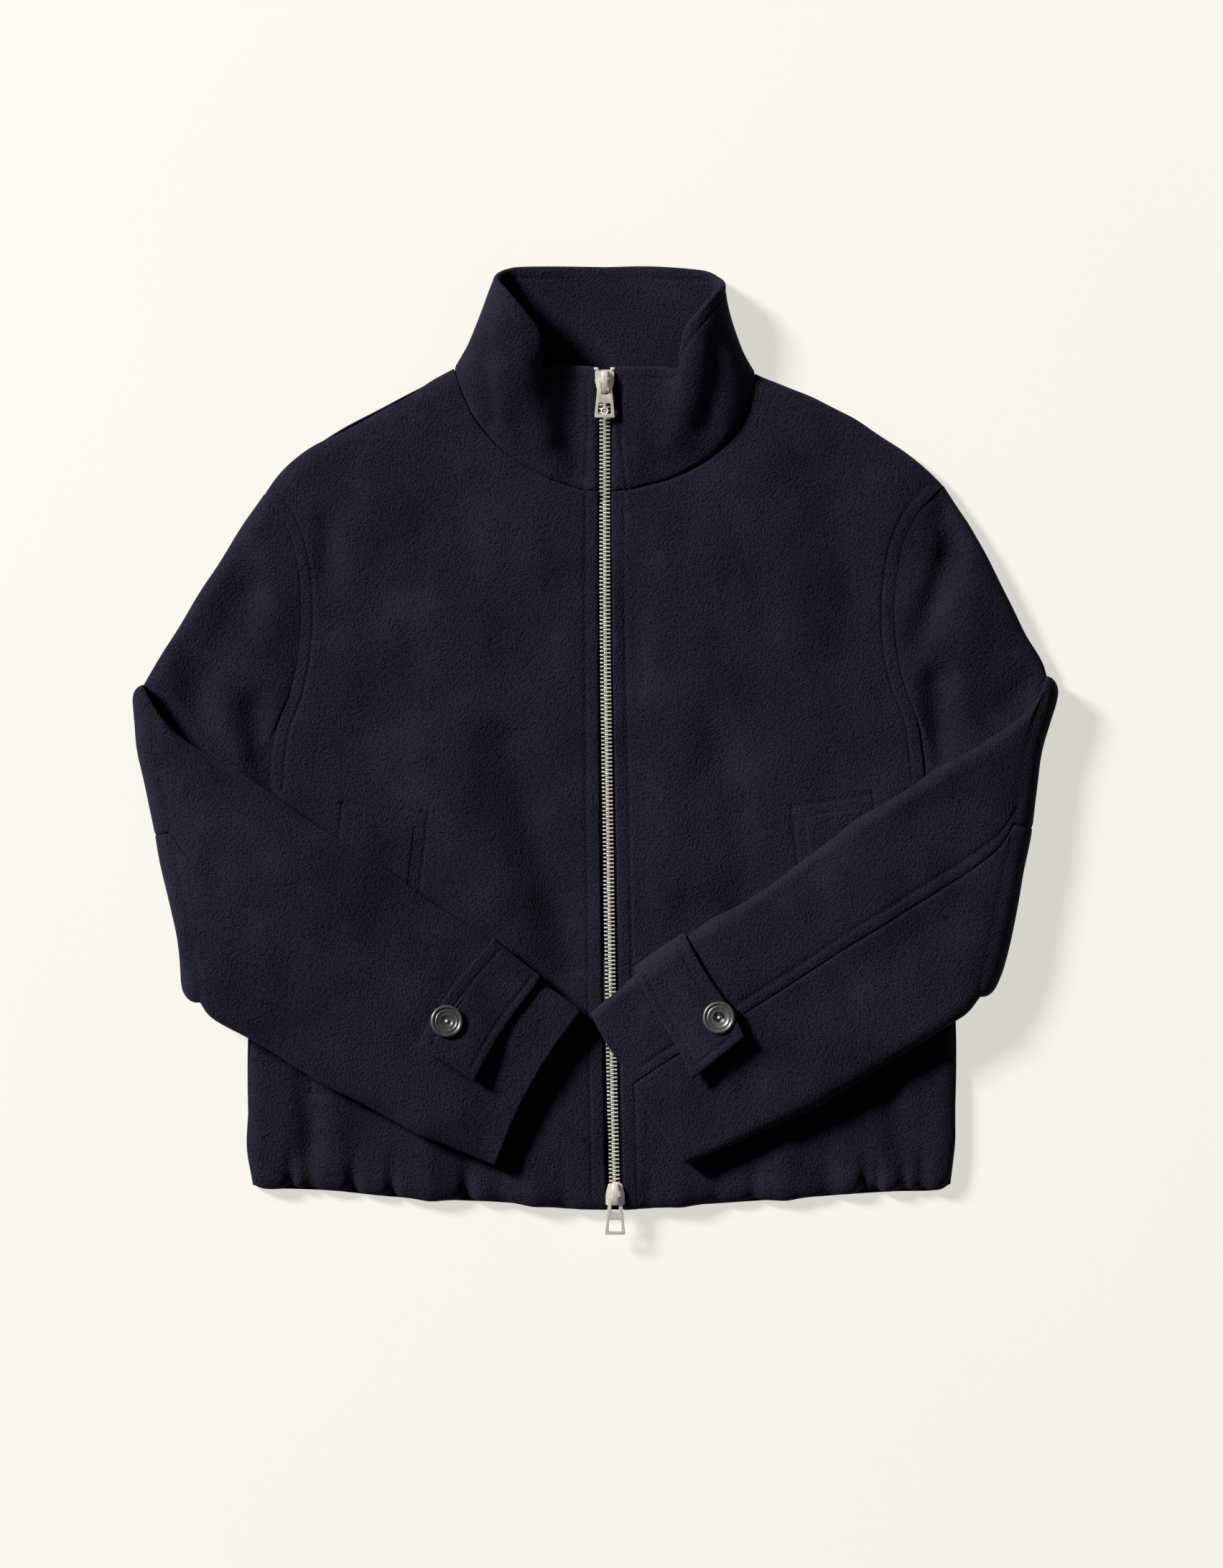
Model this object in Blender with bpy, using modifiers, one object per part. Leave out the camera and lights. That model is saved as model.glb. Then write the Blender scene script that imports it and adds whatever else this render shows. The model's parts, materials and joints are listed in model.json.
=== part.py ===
"""A navy wool jacket with a tall zipped collar, lying on its back with both sleeves folded across it.

The frame: +X is the wearer's left, +Y runs from the hem to the collar and +Z points up from the floor.
Every size is in millimetres until a mesh is made. The wearer's right is on the -X side.
"""

import math

import bmesh
import bpy
import numpy as np
from mathutils import Matrix, Vector

MM = 0.001

# Cloth
WALL = 2.6  # wool with its lining
COLLAR_WALL = 3.0  # two layers of wool
WELT_WALL = 2.0
TAB_WALL = 3.6
TAB_CLEAR = 0.8
WELT_CLEAR = 0.6
SEAM_GAP = 0.3
SIDE_STEP = 0.45  # between pieces that meet along a curve
BODY_HEIGHT = 14.5  # the closed front over the floor
SEAM_HEIGHT = 7.25  # side and shoulder seams
EDGE_ROUND = 13.5  # how far in from its outline the body rounds over
HEM_ROUND = 16.0
HEM_DROP = 3.5
ZIP_FLAT = 24.0  # the hem stays flat this near the zip
ZIP_FADE = 26.0
SIDE_FADE = 3

# Sleeves
FOLD_RADIUS = 9.3  # of the middle of the sleeve round its elbow fold
FOLD_MIDDLE = 18.6
CORNER_SHARE = 0.1  # over this share of its length the fold tightens to nothing at each corner
END_SHARE = 0.06  # the share of a section that rounds over at each end
SEAM_SHARE = 0.47  # where the back seam crosses a section

# Zip
TAPE_INNER = 4.6
TAPE_OUTER = 15.0
TAPE_DOWN = 3.6  # the top of the tape under the cloth's face
TAPE_THICK = 0.9
CHAIN_HALF = 4.2
CHAIN_TOP = 1.3
CHAIN_THICK = 4.0

# Slider and pull
SLIDER_LONG = 17.0
SLIDER_WIDE = 14.6
SLIDER_TAIL = 10.2
PLATE_UP = 0.5  # the top plate over the cloth's face
PLATE_THICK = 1.6
POST_HALF = 1.8
LOWER_DOWN = 7.3
BRIDGE_HALF = 2.1
BRIDGE_WALL = 1.3
EYE_HIGH = 4.0
PULL_THICK = 2.0
PULL_LONG = 28.0
BOTTOM_DROOP = 5.0  # degrees

BUTTON_RADIUS = 12.6
BUTTON_THICK = 4.6
BUTTON_SHARE = (0.50, 0.70)  # across and along the tab
TAB_LIFT = 7.0  # how far the free end stands off the sleeve

# The zip: y, x of its middle, half the gap between the cloth edges, height of the cloth's face
ZIP_ROWS = (
    (-352.0, 15.0, 6.9, 14.5),
    (-250.0, 12.5, 6.8, 14.5),
    (-85.0, 9.8, 6.3, 14.5),
    (80.0, 7.4, 5.6, 14.5),
    (180.0, 7.0, 5.3, 14.5),
    (199.0, 7.0, 5.3, 14.8),
    (246.5, 7.0, 5.3, 19.5),
    (293.5, 6.8, 5.3, 26.0),
)

# Outlines: x, y. "out" is the side away from the zip
OUTLINES = {
    "right": {
        "hem": ((8.1, -352), (-25, -351), (-69, -346.5), (-113, -344.5), (-157, -342),
                (-201, -337.5), (-234, -336), (-253, -336), (-262, -333)),
        "side": ((-262, -333), (-265.5, -310), (-266.5, -282.5), (-267, -238.5), (-265.5, -194.5),
                 (-261, -139.5), (-254, -73.5), (-249.5, -36)),
        "armhole": ((-249.5, -36), (-248, -10), (-244, 18.5), (-234, 45.5), (-227.5, 81), (-226.5, 120),
                    (-230, 149.5), (-238.5, 175), (-254, 196.5)),
        "shoulder": ((-108.5, 292.5), (-141.5, 276), (-166, 263), (-192, 249.5), (-212.5, 236.5),
                     (-229, 223.5), (-242.5, 210), (-254, 196.5)),
        "neck": ((1.7, 199), (-10.5, 200), (-33.5, 207.5), (-53.5, 217.5), (-71, 229.5),
                 (-81, 239.5), (-93, 254.5), (-102.5, 274.5), (-108.5, 292.5)),
        "back_neck": ((-108.5, 292.5), (-96, 284), (-76, 276.5), (-45, 271), (7, 268)),
        "arm_out": ((-254, 196.5), (-273, 170.5), (-290, 144), (-306, 117.5), (-322, 91.5),
                    (-331, 77), (-339, 63.5), (-346.5, 50.5)),
        "arm_in": ((-249.5, -36), (-262, -68), (-276, -104), (-290, -143), (-302.5, -192)),
        "fold": ((-346.5, 50.5), (-341.5, 38), (-338.5, 24), (-336, 8), (-330.5, -27.5), (-323.5, -67),
                 (-316, -106.5), (-308.5, -146.5), (-303.5, -170), (-302.5, -192)),
        "fore_top": ((-346.5, 50.5), (-334, 30), (-319, 12), (-295.5, -4), (-270, -19), (-252.5, -30.5), (-230, -46),
                     (-198, -66), (-144.5, -99.5), (-107.5, -126), (-77, -146.5), (-44, -173), (-10.5, -198)),
        "fore_low": ((-302.5, -192), (-295.5, -202), (-281, -212.5), (-266, -221.5), (-225, -246),
                     (-209, -257), (-160.5, -281), (-121, -299), (-77, -317)),
        "cuff": ((-10.5, -198), (-32, -227), (-50, -256), (-65, -287), (-77, -317)),
        "pocket": ((-185.5, -51), (-139, -57), (-161.5, -260.5), (-208, -254)),
        "tab": ((-77.5, -142.5), (-40.5, -171), (-92.5, -252.5), (-136, -224.5)),
    },
    "left": {
        "hem": ((22, -352), (41, -351), (74, -348.5), (118.5, -345.5), (162, -342.5),
                (195.5, -340), (228.5, -338), (261, -337), (272, -332)),
        "side": ((272, -332), (274.5, -310), (275.5, -282.5), (276.5, -238.5), (275.5, -194.5),
                 (270.5, -139.5), (261, -73.5), (253, -28)),
        "armhole": ((253, -28), (249.5, 3.5), (246, 25.5), (235, 55), (229.5, 86), (229.5, 121.5),
                    (235.5, 157.5), (248.5, 184), (266.5, 202.5)),
        "shoulder": ((123, 290), (150, 277), (178, 264), (201.5, 251), (222, 238),
                     (240, 225), (256.5, 211.5), (266.5, 202.5)),
        "neck": ((12.3, 199), (25.5, 200), (37, 202.5), (58.5, 208.5), (78, 218), (95.5, 231),
                 (109.5, 247), (119.5, 267), (123, 290)),
        "back_neck": ((123, 290), (110, 281), (90, 275), (60, 270.5), (7, 268)),
        "arm_out": ((266.5, 202.5), (279, 183.5), (287.5, 170.5), (301.5, 144), (314.5, 117.5),
                    (328.5, 91.5), (337.5, 77), (343, 67), (346, 58)),
        "arm_in": ((253, -28), (262, -62), (272, -100), (285, -143), (294, -188)),
        "fold": ((346, 58), (343.5, 49), (339.5, 38), (334.5, 24), (328.5, -1), (320, -54),
                 (312, -93.5), (304.5, -133), (298.5, -160), (295, -175), (294, -188)),
        "fore_top": ((346, 58), (339, 44), (329, 31), (304.5, 12), (271, -9), (252, -20.5), (228.5, -36),
                     (192.5, -58), (161.5, -80), (120, -109), (88, -131), (60, -150),
                     (30.5, -170.5), (9.5, -186.5), (-5, -199)),
        "fore_low": ((294, -188), (285, -199.5), (275, -207.5), (242.5, -228.5), (193.5, -257),
                     (130, -290), (97, -306.5), (70, -318)),
        "cuff": ((-5, -199), (9.5, -226), (25.5, -249), (46, -285), (70, -318)),
        "pocket": ((160.5, -51), (203.5, -44), (226, -247.5), (183, -254.5)),
        "tab": ((69.5, -145), (30.5, -169), (74, -250.5), (114, -218.5)),
    },
}

# The collar: share along the seam (0 at the zip, 1 at the shoulder, 2 at the centre back),
# then x, y, z of its outer face half way up and at its top edge
COLLAR_ROWS = {
    "right": (
        (0.00, (1.7, 246.5, 19.5), (1.5, 293.5, 26)),
        (0.12, (-10, 246.5, 20), (-12, 294, 26.5)),
        (0.30, (-26, 250, 22), (-28.5, 294, 28)),
        (0.45, (-40, 255, 25.5), (-41, 293.5, 31)),
        (0.60, (-53, 263, 29.5), (-40.5, 309, 38)),
        (0.75, (-66.5, 274, 34), (-43, 322.5, 43.5)),
        (0.87, (-77, 291.5, 36), (-55.5, 337, 47.5)),
        (0.95, (-86, 312.5, 34), (-68, 351, 44)),
        (1.00, (-89.5, 327, 24), (-77.5, 362, 30)),
        (1.08, (-86.5, 337, 8), (-73, 369, 15)),
        (1.20, (-71, 330.5, 1.5), (-62.5, 371.5, 5)),
        (1.50, (-35.5, 323.5, 0), (-32.5, 372, 1.5)),
        (2.00, (7, 321, 0), (7, 371.5, 1)),
    ),
    "left": (
        (0.00, (12.4, 246.5, 19.5), (12.3, 293.5, 26)),
        (0.12, (23.5, 246.5, 20), (26, 294, 26.5)),
        (0.30, (41.5, 250, 22), (45.5, 294, 28)),
        (0.45, (58, 255, 25.5), (62.5, 293.5, 31)),
        (0.60, (72.5, 264, 29.5), (64, 308.5, 37)),
        (0.75, (85.5, 275.5, 33), (68, 324, 43)),
        (0.87, (95, 292, 34), (79, 336, 46.5)),
        (0.95, (101.5, 308.5, 31), (89.5, 347, 43)),
        (1.00, (105.5, 322, 22), (99, 357.5, 30)),
        (1.08, (101.5, 334, 8), (94.5, 364, 14)),
        (1.20, (88.5, 329, 1.5), (82.5, 369, 5)),
        (1.50, (48.5, 323.5, 0), (44.5, 372, 1.5)),
        (2.00, (7, 321, 0), (7, 371.5, 1)),
    ),
}

# Sleeve sections: share of the way along, thickness of the sleeve, height of its underside
UPPER_ARM = ((0.0, 14.5, 0.0), (0.09, 16.6, 0.0), (0.2, 18.0, 0.0), (0.4, 18.0, 0.0),
             (0.6, 18.0, 0.0), (0.8, 17.6, 0.0), (0.92, 14.0, 1.6), (1.0, 10.0, 4.3))
FOREARM = ((0.0, 10.0, 22.9), (0.05, 14.4, 20.4), (0.12, 17.4, 18.9), (0.25, 18.0, 18.4),
           (0.4, 18.0, 18.0), (0.55, 17.8, 17.6), (0.7, 17.4, 17.2), (0.85, 16.6, 16.4), (1.0, 15.6, 15.8))
FOLD_ANGLES = (30, 60, 90, 120, 150)

# Soft troughs (and ridges, with a depth under 0): x, y of both ends, depth, half width
TROUGHS = {
    "front_right": ((-207, 170, -209, 138, 2.2, 11), (-219, -247, -221, -310, 1.8, 10),
                    (-186, -322, -187, -345, 1.5, 9), (-99, -322, -101, -345, 1.5, 9),
                    (-236, -318, -233, -345, 1.2, 8), (-60, 60, -25, -120, 1.2, 30)),
    "front_left": ((206, 150, 203, 110, 1.6, 11), (214, -322, 208, -345, 1.5, 9),
                   (247, -265, 248, -315, 1.5, 10), (150, -325, 152, -345, 1.2, 9),
                   (60, 180, 95, 20, -1.0, 26)),
    "top_sleeve_right": ((-318, 78, -298, 28, 3.6, 15), (-262, 90, -256, -5, 2.0, 13)),
    "top_sleeve_left": ((269, 186, 272, 150, 3.0, 12), (272, 150, 243, 78, 3.0, 12),
                        (262, 56, 268, 0, 3.0, 12)),
}


def smooth(points, steps=10):
    """A dense curve that passes smoothly through the points."""
    p = np.asarray(points, float)
    p = np.vstack([2 * p[0] - p[1], p, 2 * p[-1] - p[-2]])
    t = np.arange(steps)[:, None] / steps
    spans = [
        0.5 * (2 * b + (c - a) * t + (2 * a - 5 * b + 4 * c - d) * t**2 + (3 * b - a - 3 * c + d) * t**3)
        for a, b, c, d in zip(p, p[1:], p[2:], p[3:])
    ]
    return np.vstack([*spans, p[-2:-1]])


class Route:
    """A smooth curve read by the share of its length."""

    def __init__(self, points):
        self.line = smooth(points)
        steps = np.linalg.norm(np.diff(self.line, axis=0), axis=1)
        self.arc = np.concatenate([[0], np.cumsum(steps)])
        self.length = self.arc[-1]

    def at(self, share):
        where = np.asarray(share, float) * self.length
        return np.stack([np.interp(where, self.arc, column) for column in self.line.T], axis=-1)

    def beside(self, share, by):
        """The curve moved to the left of its way on by this much."""
        share = np.asarray(share, float)
        way = self.at(np.minimum(share + 0.01, 1)) - self.at(np.maximum(share - 0.01, 0))
        way /= np.linalg.norm(way, axis=1)[:, None]
        return self.at(share) + by * np.column_stack([-way[:, 1], way[:, 0]])


def table_curve(rows):
    """Reads a table's columns at any value of its first, along smooth curves."""
    line = smooth(rows)
    return lambda at: np.stack([np.interp(at, line[:, 0], c) for c in line.T[1:]], axis=-1)


ROUTES = {side: {name: Route(points) for name, points in rows.items()} for side, rows in OUTLINES.items()}
zip_at = table_curve(ZIP_ROWS)


def section_shares():
    """The stations across a sleeve section, close together where it rounds over."""
    ends = [END_SHARE * (1 - math.cos(math.radians(a))) for a in (0, 30, 60, 90)]
    middle = [0.16, 0.31, SEAM_SHARE, 0.63, 0.8]
    return np.array([*ends, *middle, *(1 - e for e in reversed(ends))])


SECTION = section_shares()
NECK_SHARES = np.array([0, 0.12, 0.26, 0.42, 0.58, 0.72, 0.83, 0.92, 0.97, 1])
BACK_NECK_SHARES = np.array([0, 0.03, 0.08, 0.16, 0.36, 0.68, 1])
SHOULDER_SHARES = np.array([0, 0.2, 0.4, 0.6, 0.78, 0.9, 0.96, 0.987, 1])
SIDE_SHARES = np.array([0, 0.01, 0.03, 0.07, 0.15, 0.28, 0.42, 0.56, 0.7, 0.85, 1])
BACK_SHOULDER_SHARES = np.array([0, 0.25, 0.5, 0.75, 0.93, 0.985, 1])
BACK_SIDE_SHARES = np.array([0, 0.02, 0.1, 0.3, 0.5, 0.7, 0.87, 1])


def patch(bottom, top, left, right, u, v, fade=1):
    """Fills four edges with rows and columns. A higher fade keeps the bends of the left and right edges near them."""
    u, v = u[None, :, None], v[:, None, None]
    low, high = ((1 - u) * edge[0] + u * edge[-1] for edge in (bottom, top))
    near, far = ((1 - v) * bottom[end] + v * top[end] for end in (0, -1))
    flat = (1 - v) * low + v * high
    along = (1 - v) * (bottom[None] - low) + v * (top[None] - high)
    across = (1 - u) ** fade * (left[:, None] - near) + u**fade * (right[:, None] - far)
    return flat + along + across


def nearest(points, line):
    """The distance from each point to a line of points, and the way there."""
    a, b = line[:-1], line[1:]
    step = b - a
    share = np.einsum("pkd,kd->pk", points[:, None] - a, step) / np.maximum((step**2).sum(1), 1e-9)
    foot = a + np.clip(share, 0, 1)[..., None] * step
    away = foot - points[:, None]
    far = np.linalg.norm(away, axis=2)
    best = far.argmin(axis=1)
    rows = np.arange(len(points))
    return far[rows, best], away[rows, best]


def relief(points, name):
    """How far the soft troughs of a piece lower these points."""
    total = np.zeros(len(points))
    for x1, y1, x2, y2, depth, width in TROUGHS[name]:
        far, _ = nearest(points, np.array([[x1, y1], [x2, y2]], float))
        total += depth * np.exp(-((far / width) ** 2))
    return total


def rounding(points, side):
    """The rounding over at the side and shoulder seams: sine and cosine of its angle, and the way out."""
    routes = ROUTES[side]
    free = [nearest(points, routes[name].line) for name in ("side", "shoulder")]
    nearer = free[1][0] < free[0][0]
    far = np.where(nearer, free[1][0], free[0][0])
    way = np.where(nearer[:, None], free[1][1], free[0][1])
    cosine = np.clip(1 - far / EDGE_ROUND, 0, 1)
    outward = way / np.maximum(far, 1e-6)[:, None]
    if (far < 1e-6).any():
        centre = np.array([7.0, 0.0])
        outward[far < 1e-6] = -(centre - points[far < 1e-6])
        outward /= np.maximum(np.linalg.norm(outward, axis=1), 1e-6)[:, None]
    return np.sqrt(1 - cosine**2), cosine, outward


def front_skin(points, side, up=0.0):
    """The front's outer face at these x, y, moved out by up, and the way out of the cloth."""
    sine, cosine, outward = rounding(points, side)
    low = SEAM_HEIGHT + SEAM_GAP / 2
    far, _ = nearest(points, ROUTES[side]["hem"].line)
    middle, gap, _ = zip_at(points[:, 1]).T
    fade = np.clip((np.abs(points[:, 0] - middle) - ZIP_FLAT) / ZIP_FADE, 0, 1)
    hem = np.clip(1 - far / HEM_ROUND, 0, 1)
    drop = HEM_DROP * (1 - np.sqrt(1 - hem**2)) * fade * (3 - 2 * fade) * fade
    height = low + (BODY_HEIGHT - low) * sine - (drop + relief(points, "front_" + side)) * sine**2
    normal = np.column_stack([outward * cosine[:, None], sine])
    return np.column_stack([points, height]) + up * normal, normal


def back_skin(points, side):
    sine, cosine, outward = rounding(points, side)
    height = (SEAM_HEIGHT - SEAM_GAP / 2) * (1 - sine)
    return np.column_stack([points, height]), np.column_stack([outward * cosine[:, None], -sine])


def walled(name, outer, inner, material):
    """A wall between two faces, each given as rows and columns of points."""
    rows, columns = outer.shape[:2]
    mesh = bmesh.new()
    skins = [[[mesh.verts.new(Vector(p) * MM) for p in row] for row in face] for face in (outer, inner)]
    for r in range(rows - 1):
        for c in range(columns - 1):
            for skin in skins:
                mesh.faces.new((skin[r][c], skin[r][c + 1], skin[r + 1][c + 1], skin[r + 1][c]))
    out, into = skins
    for r in (0, rows - 1):
        for c in range(columns - 1):
            mesh.faces.new((out[r][c], into[r][c], into[r][c + 1], out[r][c + 1]))
    for c in (0, columns - 1):
        for r in range(rows - 1):
            mesh.faces.new((out[r][c], out[r + 1][c], into[r + 1][c], into[r][c]))
    bmesh.ops.recalc_face_normals(mesh, faces=mesh.faces)
    return add_mesh(name, mesh, material)


def add_mesh(name, mesh, material):
    data = bpy.data.meshes.new(name)
    mesh.to_mesh(data)
    mesh.free()
    data.materials.append(material)
    data.shade_smooth()
    data.set_sharp_from_angle(angle=math.radians(50))
    piece = bpy.data.objects.new(name, data)
    jacket.objects.link(piece)
    return piece


def finish(name, colour, roughness, metallic=0.0):
    """A plain material for one piece."""
    material = bpy.data.materials.new(name)
    material.use_nodes = True
    shader = material.node_tree.nodes["Principled BSDF"]
    shader.inputs["Base Color"].default_value = (*colour, 1)
    shader.inputs["Roughness"].default_value = roughness
    shader.inputs["Metallic"].default_value = metallic
    return material


def wool(name):
    return finish(name, (0.016, 0.017, 0.028), 0.9)


def nickel(name):
    return finish(name, (0.55, 0.55, 0.54), 0.3, 1.0)


def side_edge(side, shares):
    """The side seam and then the armhole, and the share of the way up of each point."""
    routes = ROUTES[side]
    armhole = 1 - SECTION[-2::-1]
    points = np.vstack([routes["side"].at(shares), routes["armhole"].at(armhole)])
    whole = routes["side"].length + routes["armhole"].length
    up = np.concatenate([shares * routes["side"].length,
                         routes["side"].length + armhole * routes["armhole"].length])
    return points, up / whole


def zip_edge(side, y):
    """The front's edge beside the zip."""
    middle, gap, _ = zip_at(y).T
    return np.column_stack([middle + (gap if side == "left" else -gap), y])


def make_front(side):
    routes = ROUTES[side]
    outside, v = side_edge(side, SIDE_SHARES)
    top = np.vstack([routes["neck"].at(NECK_SHARES), routes["shoulder"].at(SHOULDER_SHARES[1:])])
    whole = routes["neck"].length + routes["shoulder"].length
    u = np.concatenate([NECK_SHARES * routes["neck"].length,
                        routes["neck"].length + SHOULDER_SHARES[1:] * routes["shoulder"].length]) / whole
    hem = routes["hem"].at(u)
    start, end = hem[0, 1], top[0, 1]
    inside = zip_edge(side, start + (end - start) * v)
    hem[0], top[0] = inside[0], inside[-1]
    plan = patch(hem, top, inside, outside, u, v, SIDE_FADE)
    outer, normal = front_skin(plan.reshape(-1, 2), side)
    shape = (*plan.shape[:2], 3)
    walled("front_" + side, outer.reshape(shape), (outer - WALL * normal).reshape(shape), wool("wool_front_" + side))


def make_back():
    """One panel: its left half is laid out as its right half is, from the side to the centre."""
    halves = []
    for side in ("right", "left"):
        routes = ROUTES[side]
        outside, v = side_edge(side, BACK_SIDE_SHARES)
        shoulder = BACK_SHOULDER_SHARES[::-1]
        top = np.vstack([routes["shoulder"].at(shoulder), routes["back_neck"].at(BACK_NECK_SHARES[1:])])
        whole = routes["back_neck"].length + routes["shoulder"].length
        u = np.concatenate([(1 - shoulder) * routes["shoulder"].length,
                            routes["shoulder"].length + BACK_NECK_SHARES[1:] * routes["back_neck"].length]) / whole
        centre_x = 11.0 + (top[-1, 0] - 11.0) * v
        centre = np.column_stack([centre_x, -352 + (top[-1, 1] + 352) * v])
        hem = routes["hem"].at(1 - u)
        hem[-1] = centre[0]
        plan = patch(hem, top, outside, centre, u, v, SIDE_FADE)
        outer, normal = back_skin(plan.reshape(-1, 2), side)
        shape = (*plan.shape[:2], 3)
        halves.append((outer.reshape(shape), (outer - WALL * normal).reshape(shape)))
    joined = [np.concatenate([a, b[:, -2::-1]], axis=1) for a, b in zip(*halves)]
    walled("back", *joined, wool("wool_back"))


def with_ends(shares):
    return np.concatenate([[0], shares, [1]])


class Sleeve:
    """A flattened tube from the armhole to the elbow fold, round it, and on to the cuff."""

    def __init__(self, side):
        self.side = side
        self.routes = ROUTES[side]
        self.height = {"upper": table_curve(UPPER_ARM), "fore": table_curve(FOREARM)}
        ends = self.routes["fold"].at([0, 1])
        along = (ends[1] - ends[0]) / np.linalg.norm(ends[1] - ends[0])
        self.out = np.array([along[1], -along[0]]) * (1 if side == "right" else -1)

    def plan(self, part, along, shares):
        """Points of the sleeve seen from above, a row for each section, with both its ends added."""
        r = self.routes
        shares = with_ends(shares)
        if part == "upper":
            away = SIDE_STEP if self.side == "right" else -SIDE_STEP
            first = r["armhole"].beside(1 - shares, away)
            edges = (first, r["fold"].at(shares), r["arm_out"].at(along), r["arm_in"].at(along))
        else:
            edges = (r["fold"].at(shares), r["cuff"].at(shares), r["fore_top"].at(along), r["fore_low"].at(along))
        first, last, left, right = edges
        if part == "upper":
            left[0], right[0] = first[0], first[-1]
        return patch(first, last, left, right, shares, along)

    def skin(self, part, along, shares, layer):
        """The outer face and the way out of it. Layer 1 faces up on the upper arm, and down on the forearm."""
        plan = self.plan(part, along, shares)
        thick, under = self.height[part](along).T
        up = 1.0 if part == "upper" else -1.0
        middle = under + thick / 2
        return self.wrap(plan, middle, thick, shares, layer, np.array([0, 0, up]))

    def wrap(self, plan, middle, thick, shares, layer, up):
        """Rounds a flat section over at its ends. The two ends that the plan adds are left off."""
        end = np.minimum(shares, 1 - shares) / END_SHARE
        cosine = np.clip(1 - end, 0, 1)
        sine = np.sqrt(1 - cosine**2)
        across = plan[:, -1] - plan[:, 0]
        across /= np.linalg.norm(across, axis=1)[:, None]
        plan = plan[:, 1:-1]
        outward = np.where(shares < 0.5, -1, 1)[None, :, None] * across[:, None]
        gap = np.where(shares < 0.5, 0, SEAM_GAP / 2)
        rise = layer * (gap + (thick[:, None] / 2 - gap) * sine)
        height = np.broadcast_to(np.asarray(middle, float)[:, None], rise.shape)
        points = np.concatenate([plan, height[..., None]], axis=2) + rise[..., None] * up
        normal = np.concatenate([outward * cosine[:, None], np.zeros((*rise.shape, 1))], axis=2)
        return points, normal + (layer * sine)[:, None] * up

    def turn(self, angle, shares, layer):
        """One section on the way round the elbow fold, whose two corners are tight."""
        shares_round = with_ends(shares)
        from_corner = np.minimum(shares_round, 1 - shares_round) / CORNER_SHARE
        bulge = FOLD_RADIUS * math.sin(angle) * np.sqrt(1 - np.clip(1 - from_corner, 0, 1) ** 2)
        plan = (self.routes["fold"].at(shares_round) + self.out * bulge[:, None])[None]
        thick = np.array([self.height["fore"](0.0)[0]])
        out = np.array([*self.out, 0.0])
        up = np.array([0, 0, math.cos(angle)]) - out * math.sin(angle)
        middle = np.array([FOLD_MIDDLE - FOLD_RADIUS * math.cos(angle)])
        return self.wrap(plan, middle, thick, shares, layer, up)

    def rows(self, shares, layer):
        """Every section from armhole to cuff."""
        upper = np.array([row[0] for row in UPPER_ARM])
        fore = np.array([row[0] for row in FOREARM])
        bends = [self.turn(math.radians(a), shares, layer) for a in FOLD_ANGLES]
        parts = [self.skin("upper", upper, shares, layer), *bends, self.skin("fore", fore, shares, layer)]
        points, normal = (np.concatenate(column) for column in zip(*parts))
        if layer > 0:
            count = len(upper)
            flat = points[:count].reshape(-1, 3)
            depth = relief(flat[:, :2], "top_sleeve_" + self.side).reshape(count, -1)
            points[:count, :, 2] -= depth * normal[:count, :, 2] ** 2
        return points, normal

    def make(self):
        step = SIDE_STEP / 2 / 150
        before, after = SECTION[SECTION <= SEAM_SHARE].copy(), SECTION[SECTION >= SEAM_SHARE].copy()
        before[-1] -= step
        after[0] += step
        back = self.rows(before, -1)
        face = self.rows(SECTION, 1)
        top = [np.concatenate([b[:, :0:-1], f], axis=1) for b, f in zip(back, face)]
        under = self.rows(after, -1)
        for name, (points, normal) in (("top_sleeve_", top), ("under_sleeve_", under)):
            piece = name + self.side
            walled(piece, points, points - WALL * normal, wool("wool_" + piece))

    def locate(self, spot):
        """The share along the forearm and across it of a point seen from above."""
        at = np.array([0.7, 0.3])
        for _ in range(12):
            here, along, across = (
                self.plan("fore", np.array([at[0] + a]), np.array([at[1] + b]))[0, 1]
                for a, b in ((0, 0), (1e-3, 0), (0, 1e-3))
            )
            turn = np.column_stack([(along - here) / 1e-3, (across - here) / 1e-3])
            at = at + np.linalg.solve(turn, np.asarray(spot) - here)
        return at


def tab_faces(sleeve, corners, rows, columns):
    """The tab follows the sleeve round its edge, crosses it, and stands off at its free end."""
    near, far = corners[:2], corners[2:][::-1]
    near = np.array([sleeve.locate(p) for p in near])
    far = np.array([sleeve.locate(p) for p in far])
    near[:, 1] = 0
    faces = []
    for share in columns:
        start = near[0] + (near[1] - near[0]) * share
        end = far[0] + (far[1] - far[0]) * share
        ends = np.array([0, 0.134, 0.5, 1.0]) * END_SHARE
        across = np.concatenate([ends, END_SHARE + (end[1] - END_SHARE) * rows])
        along = start[0] + (end[0] - start[0]) * across / end[1]
        column = []
        for a, c in zip(along, across):
            points, normal = sleeve.skin("fore", np.array([a]), np.array([c]), -1)
            free = np.clip((c / end[1] - 0.35) / 0.65, 0, 1)
            lift = TAB_LIFT * free**2 * (1.6 - 0.6 * free)
            column.append((points[0, 0] + (0, 0, lift), normal[0, 0]))
        faces.append(column)
    points = np.array([[p for p, _ in column] for column in faces])
    normal = np.array([[n for _, n in column] for column in faces])
    return points + TAB_CLEAR * normal, points + (TAB_CLEAR + TAB_WALL) * normal


TAB_ROWS = np.array([0.15, 0.3, 0.45, 0.6, 0.7, 0.8, 0.9, 1.0])
TAB_COLUMNS = np.array([0, 0.07, 0.35, 0.65, 0.93, 1.0])


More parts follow.
